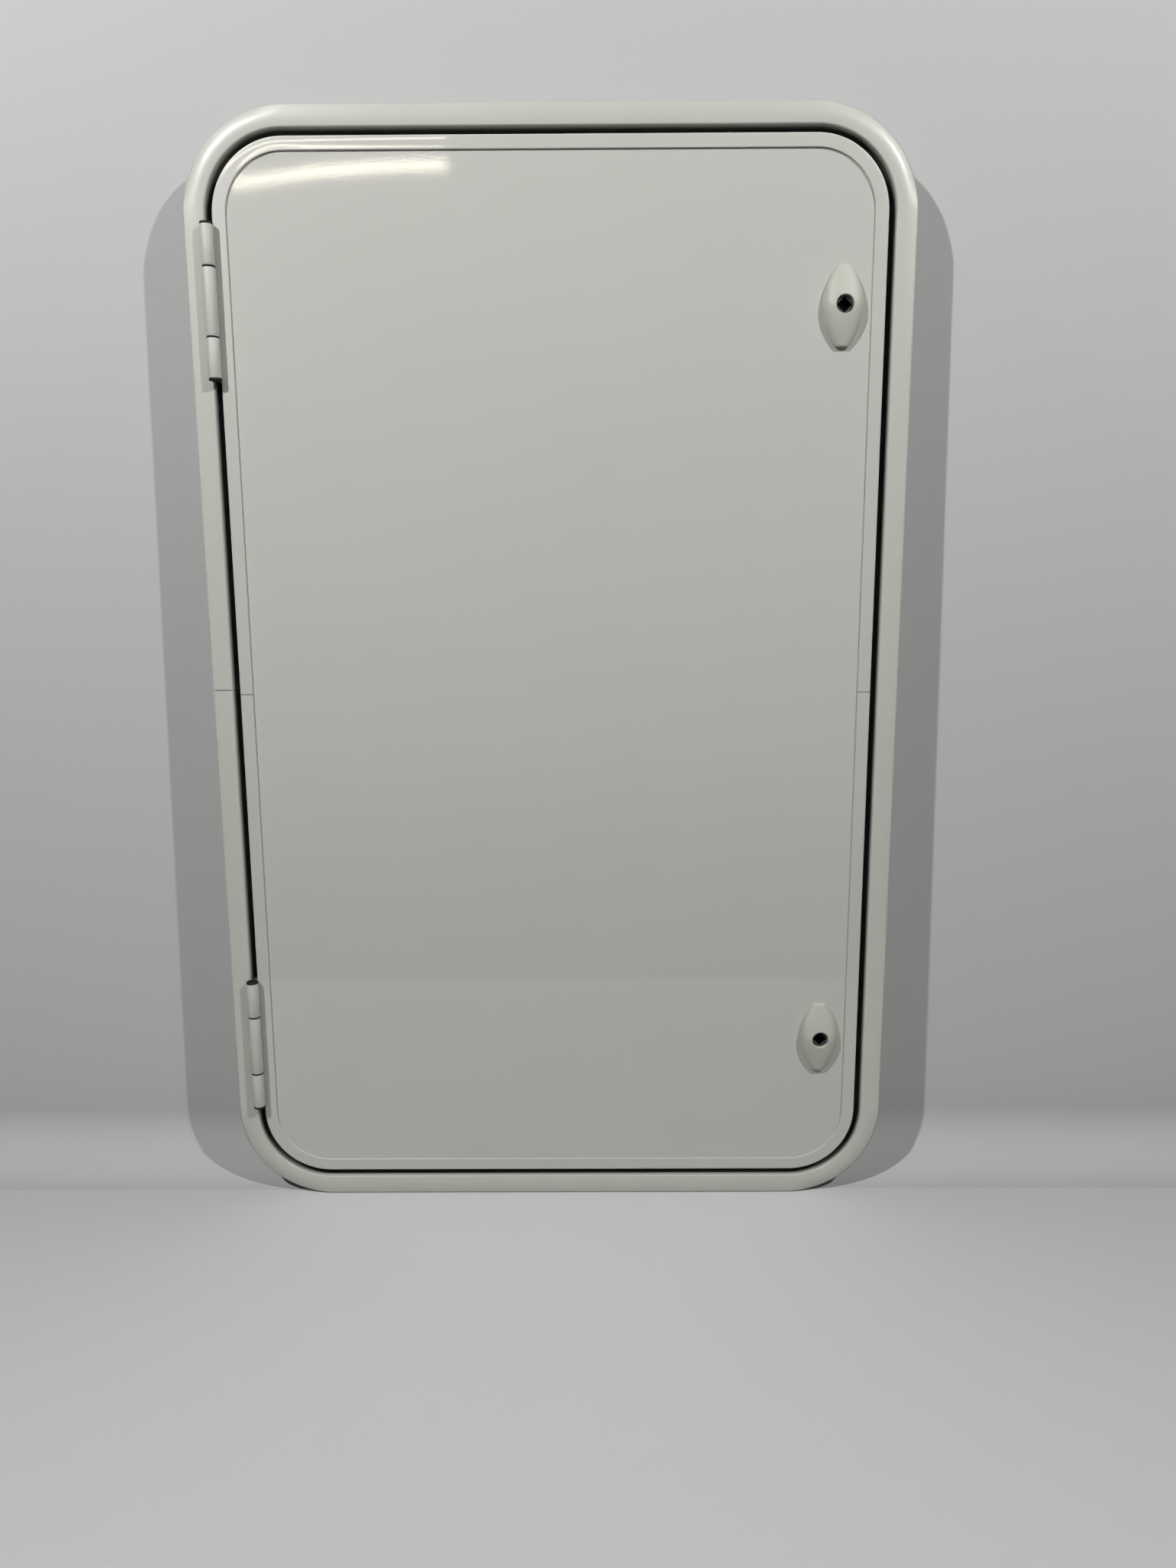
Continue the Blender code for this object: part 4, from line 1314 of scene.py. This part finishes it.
@dataclass(frozen=True)
class Viewpoint:
    """Where the photograph was taken from, solved from the leaf's edges, the hinges and the locks."""

    aside: float = 0.0328
    above: float = 0.0877
    away: float = 0.9556
    pitch: float = math.radians(9.98)
    yaw: float = math.radians(-0.252)
    roll: float = math.radians(0.276)
    focal_pixels: float = 1427
    image_height: float = 2048
    sensor: float = 36
    nearest: float = 0.05
    farthest: float = 50

    def build(self, layout: Layout) -> None:
        """Sets up the camera.

        Args:
            layout: The door's main places.
        """
        data = bpy.data.cameras.new("camera")
        data.sensor_width = self.sensor
        data.lens = self.sensor * self.focal_pixels / self.image_height
        data.clip_start = self.nearest
        data.clip_end = self.farthest
        camera = set_out("camera", data)
        turn = (Matrix.Rotation(self.roll, 3, "Z") @ Matrix.Rotation(self.pitch, 3, "X")
                @ Matrix.Rotation(self.yaw, 3, "Y"))
        door_axes = Matrix(((1, 0, 0), (0, 0, 1), (0, -1, 0)))
        place = Vector((self.aside, layout.front - self.away, layout.middle + self.above))
        camera.matrix_world = Matrix.Translation(place) @ (turn @ door_axes).transposed().to_4x4()
        bpy.context.scene.camera = camera


@dataclass(frozen=True)
class Lamp:
    """A flat lamp that faces a point of the door."""

    name: str
    place: tuple[float, float, float]
    size: tuple[float, float]
    power: float
    colour: str = "FFFFFF"
    aim: tuple[float, float, float] = (0.0, 0.0, 0.47)
    along: tuple[float, float, float] = (1.0, 0.0, 0.0)
    spread: float = 180

    def build(self) -> Object:
        """Hangs the lamp.

        Returns:
            The lamp's object.
        """
        data = bpy.data.lights.new(self.name, "AREA")
        data.shape = "RECTANGLE"
        data.size, data.size_y = self.size
        data.spread = math.radians(self.spread)
        data.energy = self.power
        data.color = linear(self.colour)[:3]
        lamp = set_out(self.name, data)
        back = (Vector(self.place) - Vector(self.aim)).normalized()
        side = Vector(self.along) - back * back.dot(Vector(self.along))
        side.normalize()
        basis = Matrix((side, back.cross(side), back)).transposed().to_4x4()
        lamp.matrix_world = Matrix.Translation(self.place) @ basis
        return lamp


@dataclass(frozen=True)
class Paper:
    """Plain matt studio paper, and the duller tone with which it lights the door's underside."""

    name: str
    colour: str
    bounce: str = "B0B0B0"


@dataclass(frozen=True)
class Studio:
    """A pale floor and backdrop, two small lamps, a far tube of three lengths and three lamps behind."""

    floor_paper: Paper = Paper("floor", "D3D3D3")
    wall_paper: Paper = Paper("backdrop", "C5C5C5")
    fill: float = 0.02
    # faint glow of the far floor that stands for the room's light, and how much it rises in reflections with distance
    room: float = 0.03
    far_room: float = 0.38
    far_room_from: float = -3.0
    horizon: float = 0.42
    horizon_height: float = 0.45
    wall_foot: float = 0.0520
    wall_lean: float = math.radians(1.30)
    cove: float = 0.055
    reach: float = 6.0
    bright_floor: float = -0.59
    surround: str = "BEBEBE"
    lamps: tuple[Lamp, ...] = (
        Lamp("lamp_left", (-0.93, -1.21, 1.73), (0.04, 0.04), 23.0),
        Lamp("lamp_right", (1.15, -1.21, 1.78), (0.04, 0.04), 20.3),
        Lamp("tube_lamp_far", (-1.43, -4.4, 2.406), (0.352, 0.038), 0.78, "FFF3DC", along=(1.0, 0.0, 0.10)),
        Lamp("tube_lamp_middle", (-1.115, -4.4, 2.440), (0.282, 0.038), 0.68, "FFF3DC", along=(1.0, 0.0, 0.055)),
        Lamp("tube_lamp_near", (-0.795, -4.4, 2.456), (0.362, 0.038), 0.86, "FFF3DC", along=(1.0, 0.0, 0.012)),
    )
    back_lamps: tuple[Lamp, ...] = (
        Lamp("back_lamp_left", (-1.30, 1.57, 0.47), (0.40, 0.88), 0.55, spread=3),
        Lamp("back_lamp_right", (1.30, 1.57, 0.47), (0.40, 0.88), 0.55, spread=3),
        Lamp("back_lamp_top", (0.0, 1.45, 1.92), (0.54, 0.62), 0.45, spread=3),
    )

    def one_sided(self, tree: NodeTree, shader: Node, only_seen: bool) -> None:
        """Ends a stage material so that it doesn't hide the door from behind.

        Args:
            tree: The material's tree.
            shader: The shader of its front.
            only_seen: Whether only the camera meets the surface, so that light passes it.
        """
        path = add_node(tree, "ShaderNodeLightPath")
        side = add_node(tree, "ShaderNodeNewGeometry")
        if only_seen:
            unseen = calculate(tree, "SUBTRACT", 1.0, path.outputs["Is Camera Ray"])
            gone = calculate(tree, "MAXIMUM", unseen, side.outputs["Backfacing"])
        else:
            gone = calculate(tree, "MULTIPLY", path.outputs["Is Camera Ray"], side.outputs["Backfacing"])
        clear = add_node(tree, "ShaderNodeBsdfTransparent")
        mix = add_node(tree, "ShaderNodeMixShader", links={0: gone, 1: shader.outputs[0], 2: clear.outputs[0]})
        add_node(tree, "ShaderNodeOutputMaterial", links={"Surface": mix.outputs[0]})

    def paper_material(self, paper: Paper, only_seen: bool) -> Material:
        """Makes matt studio paper, which only the camera sees past the lit floor; there other rays meet a faint glow
        that stands for the room's light, brighter in reflections the farther away it lies.

        Args:
            paper: The paper.
            only_seen: Whether only the camera meets the surface.

        Returns:
            The material.
        """
        new = bpy.data.materials.new(paper.name + "_paper")
        tree = cleared_tree(new)
        place = add_node(tree, "ShaderNodeSeparateXYZ",
                         links={0: add_node(tree, "ShaderNodeNewGeometry").outputs["Position"]})
        path = add_node(tree, "ShaderNodeLightPath")
        tone = add_node(tree, "ShaderNodeMix", {6: linear(paper.colour), 7: linear(paper.bounce)},
                        {0: path.outputs["Is Diffuse Ray"]}, data_type="RGBA")
        sheet = add_node(tree, "ShaderNodeBsdfDiffuse", links={"Color": tone.outputs[2]})
        # painted light: past the lit floor, rays other than the camera's meet a glow, stronger for reflections
        far = calculate(tree, "LESS_THAN", place.outputs["Y"], self.bright_floor)
        far_glow_mask = calculate(tree, "GREATER_THAN", far, path.outputs["Is Camera Ray"])
        away = remap(tree, place.outputs["Y"], (self.bright_floor, self.far_room_from), (0.0, self.far_room))
        glow = calculate(tree, "ADD", calculate(tree, "MULTIPLY", away, path.outputs["Is Glossy Ray"]), self.room)
        room_glow = add_node(tree, "ShaderNodeEmission", {"Color": WHITE}, {"Strength": glow})
        both = add_node(tree, "ShaderNodeMixShader", links={0: far_glow_mask, 1: sheet.outputs[0], 2: room_glow.outputs[0]})
        self.one_sided(tree, both, only_seen)
        return new

    def sheet(self, paper: Paper, bm: BMesh, only_seen: bool) -> Object:
        """Makes a mesh part of the stage.

        Args:
            paper: The paper it is made of.
            bm: The mesh, which is freed.
            only_seen: Whether only the camera meets it.

        Returns:
            The sheet's object.
        """
        mesh = bpy.data.meshes.new(paper.name)
        bm.to_mesh(mesh)
        bm.free()
        mesh.shade_smooth()
        mesh.materials.append(self.paper_material(paper, only_seen))
        obj = set_out(paper.name, mesh)
        return obj

    def build(self, layout: Layout) -> None:
        """Sets up the floor, the backdrop, the lamps and the world.

        Args:
            layout: The door's main places.
        """
        ground = layout.low.z
        lean = math.sin(self.wall_lean)
        bm = bmesh.new()
        foot = self.wall_foot - self.cove
        edge = [bm.verts.new((-self.reach, -self.reach, ground)), bm.verts.new((-self.reach, foot, ground))]
        across = (2 * self.reach, 0, 0)
        bmesh.ops.translate(bm, verts=extruded(bm, [bm.edges.new(edge)])[0], vec=across)
        floor = self.sheet(self.floor_paper, bm, False)
        bm = bmesh.new()
        vert = bm.verts.new((-self.reach, foot, ground))
        arc = bmesh.ops.spin(bm, geom=[vert], cent=(0, foot, ground + self.cove), axis=(1, 0, 0),
                             angle=QUARTER + self.wall_lean, steps=12, use_duplicate=False)
        last = [v for v in arc["geom_last"] if isinstance(v, BMVert)]
        top = bmesh.ops.extrude_vert_indiv(bm, verts=last)["verts"]
        bmesh.ops.translate(bm, verts=top, vec=(0, -self.reach * lean, self.reach))
        bmesh.ops.translate(bm, verts=extruded(bm, bm.edges[:])[0], vec=across)
        wall = self.sheet(self.wall_paper, bm, True)
        for lamp in self.lamps:
            lamp.build()
        self.light_back((floor, wall))
        self.world()

    def light_back(self, papers: tuple[Object, ...]) -> None:
        """Lights the door's back, and leaves the papers before it as they are.

        Args:
            papers: The sheets that the lamps don't light.
        """
        spared = bpy.data.collections.new("papers")
        for paper in papers:
            spared.objects.link(paper)
        for member in spared.collection_objects:
            member.light_linking.link_state = "EXCLUDE"
        for lamp in self.back_lamps:
            hung = lamp.build()
            hung.visible_glossy = False
            hung.light_linking.receiver_collection = spared

    def world(self) -> None:
        """Sets the even fill light, and what the camera sees past the stage."""
        world = bpy.data.worlds.new("studio")
        bpy.context.scene.world = world
        tree = cleared_tree(world)
        path = add_node(tree, "ShaderNodeLightPath")
        direction = add_node(tree, "ShaderNodeSeparateXYZ",
                             links={0: add_node(tree, "ShaderNodeTexCoord").outputs["Generated"]})
        height = calculate(tree, "ABSOLUTE", direction.outputs["Z"])
        glow = remap(tree, height, (0.0, self.horizon_height), (self.horizon, 0.0))
        strength = calculate(tree, "ADD", calculate(tree, "MULTIPLY", glow, path.outputs["Is Glossy Ray"]), self.fill)
        light = add_node(tree, "ShaderNodeBackground", {"Color": WHITE}, {"Strength": strength})
        seen = add_node(tree, "ShaderNodeBackground", {"Color": linear(self.surround), "Strength": 1.0})
        mix = add_node(tree, "ShaderNodeMixShader",
                       links={0: path.outputs["Is Camera Ray"], 1: light.outputs[0], 2: seen.outputs[0]})
        add_node(tree, "ShaderNodeOutputWorld", links={"Surface": mix.outputs[0]})


def main() -> None:
    """Builds the door's pieces in order, then the studio and the camera."""
    logging.basicConfig(level=logging.INFO, format="%(name)s: %(message)s")
    bpy.context.scene.view_settings.view_transform = "Standard"
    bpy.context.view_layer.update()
    layout = Layout(*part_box("frame"))
    hinges = [BarrelHinge(layout, level) for level in Level]
    rivets = [place for hinge in hinges for place in hinge.rivets()]
    OuterFrame(layout).build(rivets, hinges[0].rivet_hole)
    Leaf(layout).build(rivets, hinges[0].rivet_hole)
    for hinge in hinges:
        hinge.build()
    for level in Level:
        TurnLock(layout, level).build()
    Studio().build(layout)
    Viewpoint().build(layout)


if __name__ == "__main__":
    main()
